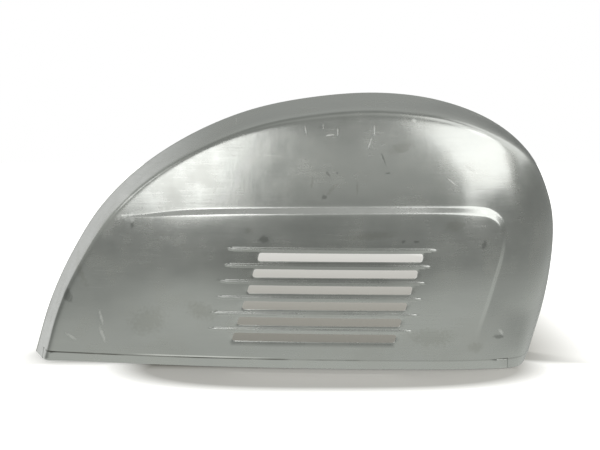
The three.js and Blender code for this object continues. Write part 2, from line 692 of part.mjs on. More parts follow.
// Torsion spring: a leg on the catch's tab, a close coil round the pivot, and a leg held by the post.
function latchSpring() {
  const [yNear, yFar] = [CATCH_Y[1] + GAP + SPRING_WIRE, 10.2];
  const steps = Math.round(SPRING_SWEEP / 24);
  const points = [[...SPRING_LEGS.tab, yNear]];
  for (let i = 0; i <= steps; i += 1) {
    const share = i / steps;
    const angle = SPRING_START - SPRING_SWEEP * share;
    points.push([angle, SPRING_RADIUS, yNear + (yFar - yNear) * share]);
  }
  points.push([...SPRING_LEGS.post, yFar]);
  const route = points.map(([angle, radius, y]) => {
    const [x, z] = around(angle, radius);
    return new THREE.Vector3(x, y, z);
  });
  const wire = new THREE.Shape().absarc(0, 0, SPRING_WIRE, 0, 2 * Math.PI);
  const extrudePath = new THREE.CatmullRomCurve3(route, false, 'centripetal');
  return new THREE.ExtrudeGeometry(wire, { steps: 62, extrudePath, curveSegments: 3 });
}

// ---- Rubber buffers --------------------------------------------------------------------------------
function rimBuffer(share) {
  return turned(rimPoint(share, BUFFER_INSET), [
    [0, -6.5], [1.6, -6.5], [3, -4.2], [3, -1.6], [2.2, -1.6], [2.2, 0.3], [5, 0.3], [5, 3], [3.6, 4.3],
    [0, 4.3],
  ], 14);
}

// ---- Assembly --------------------------------------------------------------------------------------
function finish(color, roughness, metalness) {
  return new THREE.MeshStandardMaterial({ color, roughness, metalness });
}

const bareSteel = finish(0x85887f, 0.3, 1);
const plainSteel = finish(0x777a78, 0.42, 1);
const zinc = finish(0xa9adb0, 0.35, 1);
const springSteel = finish(0x55585c, 0.35, 1);
const rubber = finish(0x1c1c1d, 0.8, 0);

const cowl = new THREE.Group();

function add(name, geometry, material) {
  const mesh = new THREE.Mesh(geometry, material);
  mesh.name = name;
  cowl.add(mesh);
}

add('cowl_skin', cowlSkin(), bareSteel);
add('lower_edge_strip', lowerEdgeStrip(), bareSteel);
add('rim_reinforcement', rimStrip(RAIL_SPAN, RAIL_WIDTH, ...RAIL_Y, 22), plainSteel);
add('tail_gusset', cornerPlate(-361, -322), plainSteel);
add('front_gusset', cornerPlate(268, 326.5), plainSteel);

add('top_bracket', topBracket(), plainSteel);
add('top_hook', topHook(), zinc);
BOLT_XS.forEach((x, i) => {
  const side = ['rear', 'front'][i];
  add(`hook_bolt_${side}`, hookBolt(x), zinc);
  add(`hook_nut_${side}`, hexNut([x, BOLT_Z], BOLT_RADIUS + 0.15, TOP_BRACKET_Y[0] - GAP), zinc);
});

add('tail_bracket', tailBracket(), plainSteel);
add('tail_peg', tailPeg(), zinc);
add('tail_peg_nut', hexNut(PEG, 4.15, PLATE_Y[0] - GAP - 0.3, 7.5), zinc);
add('tail_buffer', ring(PEG, PEG_RADIUS + GAP, 11, PLATE_Y[1] + 2 * GAP + 3, 8), rubber);

add('latch_bracket', latchBracket(), plainSteel);
add('latch_pivot', latchPivot(), zinc);
add('latch_spacer', ring(PIVOT, PIVOT_RADIUS + GAP, 9, PLATE_Y[1] + GAP, CATCH_Y[0] - GAP), zinc);
add('latch_catch', latchCatch(), zinc);
add('latch_spring', latchSpring(), springSteel);
add('latch_spring_post', springPost(), zinc);
add('latch_washer', ring(PIVOT, PIVOT_RADIUS + GAP, 10, 11.2, 11.9), zinc);
add('latch_clip', latchClip(), springSteel);

BUFFER_PLACES.forEach((share, i) => add(`rim_buffer_${i + 1}`, rimBuffer(share), rubber));

// The origin is the middle of the box around the whole cowl, on the ground.
const box = new THREE.Box3().setFromObject(cowl);
const centre = box.getCenter(new THREE.Vector3());
cowl.position.set(-centre.x, -centre.y, -box.min.z);
cowl.updateMatrixWorld(true);

export default cowl;
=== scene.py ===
import math

import bmesh
import bpy
import numpy as np
from mathutils import Matrix, Vector, noise
from mathutils.geometry import delaunay_2d_cdt


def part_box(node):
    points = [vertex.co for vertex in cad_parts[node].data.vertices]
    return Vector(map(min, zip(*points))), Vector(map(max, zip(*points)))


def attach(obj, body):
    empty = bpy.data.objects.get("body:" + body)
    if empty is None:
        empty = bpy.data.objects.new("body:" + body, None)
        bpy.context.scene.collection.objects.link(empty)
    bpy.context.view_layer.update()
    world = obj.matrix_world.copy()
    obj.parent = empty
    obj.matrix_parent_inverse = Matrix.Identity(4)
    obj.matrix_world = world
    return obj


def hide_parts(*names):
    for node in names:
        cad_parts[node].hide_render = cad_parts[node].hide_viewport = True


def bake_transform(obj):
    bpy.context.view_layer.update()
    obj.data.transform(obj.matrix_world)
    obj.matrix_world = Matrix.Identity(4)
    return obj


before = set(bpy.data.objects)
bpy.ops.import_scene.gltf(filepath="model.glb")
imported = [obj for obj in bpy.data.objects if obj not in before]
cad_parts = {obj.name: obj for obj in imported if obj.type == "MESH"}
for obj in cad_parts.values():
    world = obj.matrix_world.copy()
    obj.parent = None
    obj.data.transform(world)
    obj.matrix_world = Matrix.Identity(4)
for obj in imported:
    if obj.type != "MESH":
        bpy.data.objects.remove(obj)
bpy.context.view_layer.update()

# ---- Driving dimensions, in millimetres, drawn from the mounting plane (y = 0) and the ground (z = 0) ----
MM = 0.001
SHARP_ANGLE = 35
FACE_SPACING = 5.0
SHEET = 1.0
GAP = 0.3

ARCH = [
    (-364, 0), (-343.6, 69.3), (-313.2, 137), (-270.7, 204.4), (-216, 258.5), (-144.1, 304.9),
    (-63.3, 338.3), (24, 356.3), (116, 362.4), (201, 352), (275, 323.4), (327, 279),
    (354, 222), (361.5, 165), (352.2, 86.3), (328.5, 0),
]
ARCH_RUN_ON = 60

FACE_DEPTH = 172
DEEPEST_X = 180
TAIL_CURVE = 0.00031
FRONT_CURVE = 0.000016
CROWN_Z = 100
CROWN_CURVE = 0.0004
TOP_CURVE = 0.0000018

# Side wall: share of the rim's length, steepness, tightness of the shoulder, fall of the face beside it
WALL = [
    (0, 3.4, 14, 0), (0.12, 4.2, 16, 0), (0.3, 4.8, 15, 0), (0.58, 4.8, 11, 0), (0.68, 6, 8, 9),
    (0.78, 8, 5, 24), (0.86, 6, 3.4, 24), (0.94, 4.5, 3.4, 10), (1, 5, 5, 0),
]
WALL_FLARE = 100
FALL_WIDTH = 90

PANEL_LINE = [
    (-245, 197), (-198, 202), (-124, 210.5), (8, 213.5), (163, 215), (236, 213.5),
    (262, 207.5), (275.5, 193), (277.5, 173), (273.5, 148), (264, 116), (254, 83.5), (245, 57), (242, 40),
]
PANEL_HEIGHT = 5
PANEL_STEP = 11
PANEL_TAIL = 0.25
PANEL_TAIL_END = 0.2
PANEL_FRONT = 0.55
PANEL_TURN = (0.74, 0.84)
PANEL_FADE_X = (-255, -145)
PANEL_FADE_Z = (25, 135)
PANEL_STEP_ROUND = 0.22

SLOT_COUNT = 6
SLOT_PITCH = 21.2
SLOT_SHIFT = 6.8
SLOT_TOP_Z = 148
SLOT_TOP_X = (-47, 166)
SLOT_HEIGHT = 10.6
SLOT_CORNER = 3.4
SLOT_LIP = 0.6
BEAD_RISE = 9.9
BEAD_HEIGHT = 1.6
BEAD_HALF_WIDTH = 2.1
BEAD_LEFT = (-87, -91, -97, -102, -110, -113)
BEAD_RIGHT = (184, 176, 169, 165, 160, 153)

FLANGE = 13
RIM_RADIUS = 1.6
FOOT_Z = 13.5
FACE_FOOT = (-345.5, 281)
STRIP_TOP_Z = 30
STRIP_TILT = 7
STRIP_FLANGE = 14

BRACKET_SHEET = 2
BEHIND_FLANGE = -(SHEET + GAP)
RAIL_SPAN = (0.36, 0.67)
HOOK_X = 118
BOLT_SPREAD = 13
BOLT_Z = 318
PEG = (-318, 62)
PIVOT = (300, 50)
PIVOT_RADIUS = 5
CATCH_Y = (1.1, 4.1)
CLAW_ANGLE = 165
FINGER_ANGLE = -68
SPRING_WIRE = 0.8
SPRING_RADIUS = 7.2
SPRING_START = 69
SPRING_SWEEP = 1006
SPRING_LEGS = ((140.3, 22), (67.8, 28))
SPRING_POST = (312, 72)
BUFFER_PLACES = (0.26, 0.345, 0.745, 0.87)

LENS = 98.04
CAMERA_PLACE = (7.5, -2280, 350)
CAMERA_TILT = 4.32
# Grey of the reflected room by height, from straight down to straight up
ROOM = [
    (0.0, 0.70), (0.35, 0.70), (0.39, 0.60), (0.425, 0.50), (0.47, 0.34), (0.5, 0.29), (0.56, 0.28),
    (0.63, 0.38), (0.705, 0.48), (0.79, 0.52), (0.85, 0.34), (0.95, 0.35), (1.0, 0.5),
]
# Direction of the room's brighter patch, which the wall at the tail reflects
TAIL_PATCH = (-0.46, 0.88, 0.06)

# The design's own zero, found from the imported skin
skin_low, skin_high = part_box("cowl_skin")
ZERO = np.array([skin_low.x - ARCH[0][0] * MM, skin_high.y, skin_low.z])


def placed(points):
    return np.asarray(points, float) * MM + ZERO


# ---- Shape of the cowl ----
def smooth(t):
    t = np.clip(t, 0, 1)
    return t * t * (3 - 2 * t)


def rise(value, span):
    """A smooth change from 0 at the span's start to 1 at its end."""
    return smooth((value - span[0]) / (span[1] - span[0]))


def curve_through(points, count):
    """Evenly spaced points on a Catmull-Rom curve through the given points."""
    p = np.array(points, float)
    p = np.vstack([2 * p[0] - p[1], p, 2 * p[-1] - p[-2]])
    t = np.linspace(0, 1, 24, endpoint=False)[:, None]
    dense = []
    for i in range(1, len(p) - 2):
        enter, leave = (p[i + 1] - p[i - 1]) / 2, (p[i + 2] - p[i]) / 2
        step = p[i + 1] - p[i]
        bend, twist = 3 * step - 2 * enter - leave, enter + leave - 2 * step
        dense.append(p[i] + enter * t + bend * t**2 + twist * t**3)
    dense = np.vstack([*dense, p[-2]])
    along = np.append(0, np.cumsum(np.linalg.norm(np.diff(dense, axis=0), axis=1)))
    wanted = np.linspace(0, along[-1], count + 1)
    return np.column_stack([np.interp(wanted, along, dense[:, k]) for k in (0, 1)])


ARCH_SAMPLES = curve_through(ARCH, 360)
PANEL_SAMPLES = curve_through(PANEL_LINE, 120)
ARCH_LENGTH = np.linalg.norm(np.diff(ARCH_SAMPLES, axis=0), axis=1).sum()


def nearest(line, x, z, run_on=0):
    """Signed distance to a line of points, positive to the right of travel, and share of its length."""
    best = np.full(len(x), np.inf)
    share = np.zeros(len(x))
    last = len(line) - 2
    for i in range(last + 1):
        (ax, az), (dx, dz) = line[i], line[i + 1] - line[i]
        length = math.hypot(dx, dz)
        low = -run_on / length if i == 0 else 0
        high = 1 + run_on / length if i == last else 1
        along = np.clip(((x - ax) * dx + (z - az) * dz) / length**2, low, high)
        away = np.hypot(x - ax - along * dx, z - az - along * dz)
        side = np.where((x - ax) * dz - (z - az) * dx >= 0, 1, -1)
        closer = away < np.abs(best)
        best = np.where(closer, side * away, best)
        share = np.where(closer, np.clip((i + along) / (last + 1), 0, 1), share)
    return best, share


def wall_at(share):
    places, *values = np.array(WALL, float).T
    upper = np.clip(np.searchsorted(places, share), 1, len(WALL) - 1)
    mix = smooth((share - places[upper - 1]) / (places[upper] - places[upper - 1]))
    return [v[upper - 1] + mix * (v[upper] - v[upper - 1]) for v in values]


def face_depth(x, z):
    along, above = x - DEEPEST_X, z - CROWN_Z
    plan = TAIL_CURVE * along**2 + FRONT_CURVE * np.maximum(along, 0) ** 3
    lean = CROWN_CURVE * above**2 + TOP_CURVE * np.maximum(above, 0) ** 3
    return FACE_DEPTH - plan - lean


def ramp(t):
    """A straight ramp from 0 to 1 with rounded ends."""
    r = PANEL_STEP_ROUND
    t = np.clip(t, 0, 1)
    body = (t - r / 2) / (1 - r)
    body = np.where(t < r, t * t / (2 * r * (1 - r)), body)
    return np.where(t > 1 - r, 1 - (1 - t) ** 2 / (2 * r * (1 - r)), body)


def step_width(share):
    """Width of the panel's step, narrower at the tail and round the front corner."""
    tail = PANEL_TAIL + (1 - PANEL_TAIL) * smooth(share / PANEL_TAIL_END)
    return PANEL_STEP * tail * (1 - (1 - PANEL_FRONT) * rise(share, PANEL_TURN))


def panel_height(x, z):
    fade = rise(x, PANEL_FADE_X) * rise(z, PANEL_FADE_Z)
    distance, share = nearest(PANEL_SAMPLES, x, z)
    return PANEL_HEIGHT * fade * ramp(distance / step_width(share))


def slot_centre(number):
    return SLOT_TOP_Z - number * SLOT_PITCH


def bead_height(x, z):
    """Half-round beads over the slots, with rounded ends."""
    total = np.zeros(len(x))
    for number in range(SLOT_COUNT):
        centre = slot_centre(number) + BEAD_RISE
        from_end = np.minimum(x - BEAD_LEFT[number], BEAD_RIGHT[number] - x)
        size = np.clip(from_end / 8, 0, 1) ** 0.5
        across = (z - centre) / (BEAD_HALF_WIDTH * (0.25 + 0.75 * size))
        ridge = size * BEAD_HEIGHT * np.clip(1 - across**2, 0, 1) ** 0.75
        total += np.where(from_end > 0, ridge, 0)
    return total


def slot_lip(x, z):
    """How far the edges of the slots are turned in."""
    turned_in = np.zeros(len(x))
    for number in range(SLOT_COUNT):
        up = z - slot_centre(number)
        middle = sum(SLOT_TOP_X) / 2 - number * SLOT_SHIFT + SLOT_SHIFT / SLOT_PITCH * up
        u = np.abs(x - middle) - (SLOT_TOP_X[1] - SLOT_TOP_X[0]) / 2 + SLOT_CORNER
        v = np.abs(up) - SLOT_HEIGHT / 2 + SLOT_CORNER
        away = np.hypot(np.maximum(u, 0), np.maximum(v, 0)) - SLOT_CORNER
        turned_in += SLOT_LIP * (1 - smooth((away + 0.3) / 2))
    return turned_in


def hand_waves(x, z, distance):
    """Shallow unevenness left by pressing, planishing and use."""
    broad, fine = np.zeros(len(x)), np.zeros(len(x))
    for i, (a, b) in enumerate(zip(x, z)):
        broad[i] = noise.noise(Vector((a / 90, b / 60, 3.7)))
        fine[i] = noise.noise(Vector((a / 26, b / 20, 8.1)))
    return (0.35 * broad + 0.09 * fine) * smooth((distance - 6) / 40)


def skin_depth(x, z, waves=True):
    distance, share = nearest(ARCH_SAMPLES, x, z, ARCH_RUN_ON)
    steepness, tightness, fall = wall_at(share)
    inset = np.maximum(distance, 1e-3)
    wall = steepness * inset * (1 + (inset / WALL_FLARE) ** 2)
    face = face_depth(x, z) - fall * np.clip(1 - inset / FALL_WIDTH, 0, 1) ** 2
    depth = face * wall / (face**tightness + wall**tightness) ** (1 / tightness) + panel_height(x, z)
    if waves:
        depth = depth + bead_height(x, z) - slot_lip(x, z) + hand_waves(x, z, distance)
    return depth


def rim_points(share, inset):
    """Points inside the rim; rows near the feet run level."""
    places = np.linspace(0, 1, len(ARCH_SAMPLES))

    def on_arch(where):
        return np.column_stack([np.interp(where, places, ARCH_SAMPLES[:, k]) for k in (0, 1)])

    tangent = on_arch(np.clip(share + 0.002, 0, 1)) - on_arch(np.clip(share - 0.002, 0, 1))
    tangent /= np.linalg.norm(tangent, axis=1)[:, None]
    level = (1 - smooth(np.minimum(share, 1 - share) * ARCH_LENGTH / 45))[:, None]
    inward = np.column_stack([tangent[:, 1], -tangent[:, 0]])
    flat = np.column_stack([np.where(share < 0.5, 1.0, -1.0), np.zeros(len(share))])
    inward = inward * (1 - level) + flat * level
    inward /= np.linalg.norm(inward, axis=1)[:, None]
    return on_arch(share) + inset * inward


# ---- Mesh helpers ----
def new_object(name, data):
    made = bpy.data.objects.new(name, data)
    bpy.context.collection.objects.link(made)
    return made


def shade(mesh):
    """Smooth faces that break only at real edges."""
    mesh.shade_smooth()
    mesh.set_sharp_from_angle(angle=math.radians(SHARP_ANGLE))


def mesh_object(name, points, faces):
    mesh = bpy.data.meshes.new(name)
    mesh.from_pydata([tuple(p) for p in points], [], [tuple(f) for f in faces])
    mesh.validate()
    shade(mesh)
    return new_object(name, mesh)


def evaluated_mesh(piece):
    graph = bpy.context.evaluated_depsgraph_get()
    return bpy.data.meshes.new_from_object(piece.evaluated_get(graph))


def apply_modifiers(piece):
    made = evaluated_mesh(piece)
    piece.modifiers.clear()
    piece.data = made
    shade(made)


def grid_faces(rows, columns, flip=False):
    """Faces over an open grid of points."""
    faces = [
        (r * columns + c, r * columns + c + 1, (r + 1) * columns + c + 1, (r + 1) * columns + c)
        for r in range(rows - 1) for c in range(columns - 1)
    ]
    return [face[::-1] for face in faces] if flip else faces


def thicken(piece, thickness):
    solid = piece.modifiers.new("sheet", "SOLIDIFY")
    solid.thickness = thickness
    solid.offset = -1
    solid.use_even_offset = True
    apply_modifiers(piece)


def round_corners(corners, radius, steps=6):
    made = []
    for i, corner in enumerate(corners):
        corner = Vector(corner)
        before = (Vector(corners[i - 1]) - corner).normalized()
        after = (Vector(corners[(i + 1) % len(corners)]) - corner).normalized()
        reach = radius / math.tan(before.angle(after) / 2)
        for k in range(steps + 1):
            t = k / steps
            made.append(corner + before * reach * (1 - t) ** 2 + after * reach * t**2)
    return made


def slot_outline(number, grow=0.0):
    z = slot_centre(number)
    half = SLOT_HEIGHT / 2 + grow
    lean = SLOT_SHIFT / SLOT_PITCH * half
    left = SLOT_TOP_X[0] - number * SLOT_SHIFT - grow
    right = SLOT_TOP_X[1] - number * SLOT_SHIFT + grow
    low = [(left - lean, z - half), (right - lean, z - half)]
    high = [(right + lean, z + half), (left + lean, z + half)]
    outline = round_corners(low + high, SLOT_CORNER + grow)
    made = []
    for i, point in enumerate(outline):
        after = outline[(i + 1) % len(outline)]
        parts = max(1, round((after - point).length / 3))
        made += [tuple(point.lerp(after, k / parts)) for k in range(parts)]
    return made


def inside_slots(x, z):
    """Which points lie in a slot, counting crossings of its outline."""
    inside = np.zeros(len(x), bool)
    for number in range(SLOT_COUNT):
        outline = np.array(slot_outline(number))
        near = np.flatnonzero(np.abs(z - slot_centre(number)) < SLOT_HEIGHT / 2)
        crossings = np.zeros(len(near), int)
        for (x1, z1), (x2, z2) in zip(outline, np.roll(outline, -1, axis=0)):
            spans = (z1 > z[near]) != (z2 > z[near])
            if spans.any():
                where = x1 + (z[near] - z1) * (x2 - x1) / (z2 - z1)
                crossings += spans & (x[near] < where)
        inside[near] |= crossings % 2 == 1
    return inside


def foot_at(x):
    return np.where((x > FACE_FOOT[0]) & (x < FACE_FOOT[1]), FOOT_Z, 0.0)


def skin_plan():
    """Points of the skin in side view: rows along the rim first, then the features, then the open face."""
    columns = 320
    shares = np.linspace(0, 1, columns + 1)
    first = rim_points(shares, 0.5)
    features = []
    for inset in 1.1 * np.arange(1, 30) + 0.011 * np.arange(1, 30) ** 2:
        row = rim_points(shares, inset)
        near_foot = (foot_at(row[:, 0]) > 0) & (row[:, 1] < FOOT_Z + 2.5)
        features.append(row[~near_foot & (row[:, 1] >= -0.01)])
    foot_x = np.linspace(FACE_FOOT[0], FACE_FOOT[1], 190)
    features.append(np.column_stack([foot_x, np.full(190, FOOT_Z)]))
    for x in FACE_FOOT:
        features.append(np.column_stack([np.full(5, x), np.linspace(0, FOOT_Z, 5)]))
    for start, end in [(ARCH[0][0] + 1.5, FACE_FOOT[0]), (FACE_FOOT[1], ARCH[-1][0] - 1.5)]:
        ground = np.arange(start, end, 3.5)
        features.append(np.column_stack([ground, np.zeros(len(ground))]))

    tangent = np.gradient(PANEL_SAMPLES, axis=0)
    tangent /= np.linalg.norm(tangent, axis=1)[:, None]
    width = step_width(np.linspace(0, 1, len(PANEL_SAMPLES)))[:, None]
    side = np.column_stack([tangent[:, 1], -tangent[:, 0]]) * width
    for across in (-0.08, 0.06, 0.18, 0.3, 0.42, 0.54, 0.66, 0.78, 0.92, 1.06):
        row = PANEL_SAMPLES + across * side
        distance, _ = nearest(ARCH_SAMPLES, *row.T)
        features.append(row[distance > 36])
    slots = []
    for number in range(SLOT_COUNT):
        slots += [slot_outline(number), slot_outline(number, 0.7), slot_outline(number, 1.5)]
        centre = slot_centre(number) + BEAD_RISE
        left, right = BEAD_LEFT[number], BEAD_RIGHT[number]
        ends = np.array([0, 0.7, 1.5, 2.5, 4, 6, 8])
        along = np.concatenate([left + ends, np.arange(left + 10, right - 9, 3), right - ends])
        for across in (-2.1, -1.55, -1.2, -0.92, -0.62, -0.31, 0, 0.31, 0.62, 0.92, 1.2, 1.55, 2.1):
            row = np.column_stack([along, np.full(len(along), centre + across * BEAD_HALF_WIDTH)])
            features.append(row)
    return first, features, slots


def thin_out(points, kept, spacing):
    """The points that are no nearer than the spacing to a kept point or to an earlier one."""
    grid = {}

    def cell(point):
        return int(point[0] // spacing), int(point[1] // spacing)

    def crowded(point):
        across, up = cell(point)
        for i in (-1, 0, 1):
            for j in (-1, 0, 1):
                for other in grid.get((across + i, up + j), ()):
                    if math.hypot(point[0] - other[0], point[1] - other[1]) < spacing:
                        return True
        return False

    def note(point):
        grid.setdefault(cell(point), []).append(point)

    for point in kept:
        note(point)
    made = []
    for point in points:
        if not crowded(point):
            note(point)
            made.append(point)
    return made


def make_skin():
    first, features, slots = skin_plan()
    kept = [tuple(p) for p in first]
    for outline in slots:
        kept += outline
    for row in features:
        kept += thin_out([tuple(p) for p in row], kept, 0.55)
    face = np.array([
        (ARCH[0][0] + (column + (row % 2) / 2) * FACE_SPACING, 3 + row * FACE_SPACING * 0.87)
        for row in range(90) for column in range(150)
    ])
    distance, _ = nearest(ARCH_SAMPLES, *face.T)
    face = face[(distance > 3) & (face[:, 1] > foot_at(face[:, 0]) + 2.5) & ~inside_slots(*face.T)]
    plane = kept + thin_out([tuple(p) for p in face], kept, 3.4)
    points, _, faces, *_ = delaunay_2d_cdt([Vector(p) for p in plane], [], [], 0, 1e-5)
    plan = np.array([(p.x, p.y) for p in points])
    triangles = np.array(faces)
    middle = plan[triangles].mean(axis=1)
    distance, _ = nearest(ARCH_SAMPLES, *middle.T)
    on_rim = (triangles < len(first)).all(axis=1)
    good = (middle[:, 1] > foot_at(middle[:, 0])) & (distance > 0) & ~on_rim & ~inside_slots(*middle.T)
    triangles = triangles[good]
    depth = skin_depth(*plan.T)
    skin = np.column_stack([plan[:, 0], -depth, plan[:, 1]])

    # The rim: a rounded edge, then the flange in the mounting plane
    shares = np.linspace(0, 1, len(first))
    rows = []
    for turn in np.radians([8, 25, 42, 58, 74, 90]):
        rows.append((RIM_RADIUS * (1 - math.cos(turn)), RIM_RADIUS * (1 - math.sin(turn))))
    rows += [(3.5, 0), (6.5, 0), (9.8, 0), (FLANGE - 0.4, 0), (FLANGE, 0)]
    points_out = [skin]
    faces_out = [tuple(t) for t in triangles]
    previous, count = 0, len(skin)
    for inset, sink in rows:
        row = rim_points(shares, inset)
        points_out.append(np.column_stack([row[:, 0], np.full(len(row), -sink), row[:, 1]]))
        for c in range(len(first) - 1):
            faces_out.append((previous + c, previous + c + 1, count + c + 1, count + c))
        previous, count = count, count + len(first)
    return mesh_object("pressed_skin", placed(np.vstack(points_out)), faces_out)


# ---- Node trees ----
class Graph:
    """A node tree whose nodes are made and joined by short calls."""

    def __init__(self, tree):
        self.tree = tree

    def node(self, kind, inputs=(), **settings):
        made = self.tree.nodes.new("ShaderNode" + kind)
        for key, value in settings.items():
            setattr(made, key, value)
        for key, value in dict(inputs).items():
            self.feed(made.inputs[key], value)
        return made

    def feed(self, socket, value):
        if isinstance(value, bpy.types.NodeSocket):
            self.tree.links.new(value, socket)
        else:
            socket.default_value = value

    def span(self, value, low, high, to_low=0.0, to_high=1.0):
        inputs = {"Value": value, "From Min": low, "From Max": high, "To Min": to_low, "To Max": to_high}
        return self.node("MapRange", inputs).outputs[0]

    def near(self, value, middle, far, close):
        """1 within the close distance of a middle, and 0 beyond the far one."""
        return self.span(self.math("ABSOLUTE", self.math("SUBTRACT", value, middle), 0), far, close)

    def math(self, operation, a, b):
        return self.node("Math", {0: a, 1: b}, operation=operation).outputs[0]

    def times(self, a, b):
        return self.math("MULTIPLY", a, b)

    def plus(self, a, b):
        return self.math("ADD", a, b)

    def mix(self, factor, a, b):
        return self.node("Mix", {"Factor": factor, "A": a, "B": b}, data_type="RGBA").outputs["Result"]


class Shade(Graph):
    """A material placed by its object's own coordinates."""

    def __init__(self, name):
        self.material = bpy.data.materials.new(name)
        self.material.use_nodes = True
        super().__init__(self.material.node_tree)
        self.shader = self.tree.nodes["Principled BSDF"]
        self.place = self.tree.nodes.new("ShaderNodeTexCoord").outputs["Object"]

    def mapped(self, scale, turn=(0, 0, 0)):
        return self.node("Mapping", {"Vector": self.place, "Scale": scale, "Rotation": turn}).outputs[0]

    def noise(self, scale, detail=3, rough=0.5, vector=None):
        inputs = {"Vector": vector or self.place, "Scale": scale, "Detail": detail, "Roughness": rough}
        return self.node("TexNoise", inputs).outputs["Fac"]

    def dab(self, x, z, long, wide, turn=0):
        """A soft ragged oval at a place on the cowl, in mm, with its long axis turned from upright."""
        middle = placed([x, 0, z])
        inputs = {0: self.place, 1: tuple(middle)}
        shifted = self.node("VectorMath", inputs, operation="SUBTRACT").outputs[0]
        inputs = {"Vector": shifted, "Angle": math.radians(turn)}
        turned = self.node("VectorRotate", inputs, rotation_type="Y_AXIS").outputs[0]
        scale = (2 / (wide * MM), 0, 2 / (long * MM))
        scaled = self.node("VectorMath", {0: turned, 1: scale}, operation="MULTIPLY").outputs[0]
        away = self.node("VectorMath", {0: scaled}, operation="LENGTH").outputs["Value"]
        ragged = self.plus(away, self.span(self.noise(260, 3, 0.6), 0.3, 0.7, -0.35, 0.35))
        return self.span(ragged, 1.05, 0.45)

    def dabs(self, marks):
        """All of the marks in a list as one mask."""
        total = self.dab(*marks[0])
        for mark in marks[1:]:
            total = self.math("MAXIMUM", total, self.dab(*mark))
        return total

    def finish(self, colour, roughness, height, distance, metallic=1.0):
        self.feed(self.shader.inputs["Base Color"], colour)
        self.feed(self.shader.inputs["Roughness"], roughness)
        self.shader.inputs["Metallic"].default_value = metallic
        bump = self.node("Bump", {"Height": height, "Distance": distance, "Strength": 1.0})
        self.tree.links.new(bump.outputs[0], self.shader.inputs["Normal"])
        return self.material


# ---- Camera ----
def make_camera():
    camera = bpy.data.cameras.new("camera")
    camera.lens = LENS
    camera.sensor_width = 36
    holder = new_object("camera", camera)
    holder.location = placed(CAMERA_PLACE)
    holder.rotation_euler = (math.radians(90 - CAMERA_TILT), 0, 0)
    bpy.context.scene.camera = holder


# ---- Studio ----
def area_light(name, azimuth, elevation, distance, size, radiance, glossy=True):
    """A soft box seen from the object at an azimuth (0 is the camera's side, + is right) and elevation."""
    light = bpy.data.lights.new(name, "AREA")
    light.shape = "RECTANGLE"
    light.size, light.size_y = size
    light.energy = radiance * math.pi * size[0] * size[1]
    holder = new_object(name, light)
    a, e = math.radians(azimuth), math.radians(elevation)
    outward = Vector((math.sin(a) * math.cos(e), -math.cos(a) * math.cos(e), math.sin(e)))
    holder.location = Vector((0, 0, 0.2)) + outward * distance
    holder.rotation_euler = outward.to_track_quat("Z", "Y").to_euler()
    holder.visible_glossy = glossy


def make_world():
    """A dim room in reflections, lighter at lamp height and behind the tail, but white to the camera."""
    world = bpy.data.worlds.new("studio")
    bpy.context.scene.world = world
    bpy.context.scene.view_settings.view_transform = "Standard"
    world.use_nodes = True
    g = Graph(world.node_tree)
    g.tree.nodes.clear()
    toward = g.node("TexCoord").outputs["Generated"]
    _, y, z = g.node("SeparateXYZ", {0: toward}).outputs
    room = g.node("ValToRGB", {0: g.span(z, -1, 1)})
    room.color_ramp.interpolation = "EASE"
    while len(room.color_ramp.elements) < len(ROOM):
        room.color_ramp.elements.new(0.5)
    for element, (place, grey) in zip(room.color_ramp.elements, ROOM):
        element.position = place
        element.color = (grey * 0.97, grey, grey * 0.96, 1)
    dimmer = {0: room.outputs[0], "Scale": g.span(y, 0.9, 0.99, 1, 0.55)}
    dimmed = g.node("VectorMath", dimmer, operation="SCALE").outputs[0]
    to_tail = {0: toward, 1: Vector(TAIL_PATCH).normalized()}
    likeness = g.node("VectorMath", to_tail, operation="DOT_PRODUCT").outputs["Value"]
    edge = {"Value": likeness, "From Min": 0.92, "From Max": 0.985, "To Max": 0.5}
    patch = g.node("MapRange", edge, interpolation_type="SMOOTHSTEP").outputs[0]
    lit = g.node("VectorMath", {0: dimmed, 1: patch}, operation="ADD").outputs[0]
    colour = g.mix(g.node("LightPath").outputs["Is Camera Ray"], lit, (1, 1, 1, 1))
    background = g.node("Background", {"Color": colour})
    g.node("OutputWorld", {"Surface": background.outputs[0]})


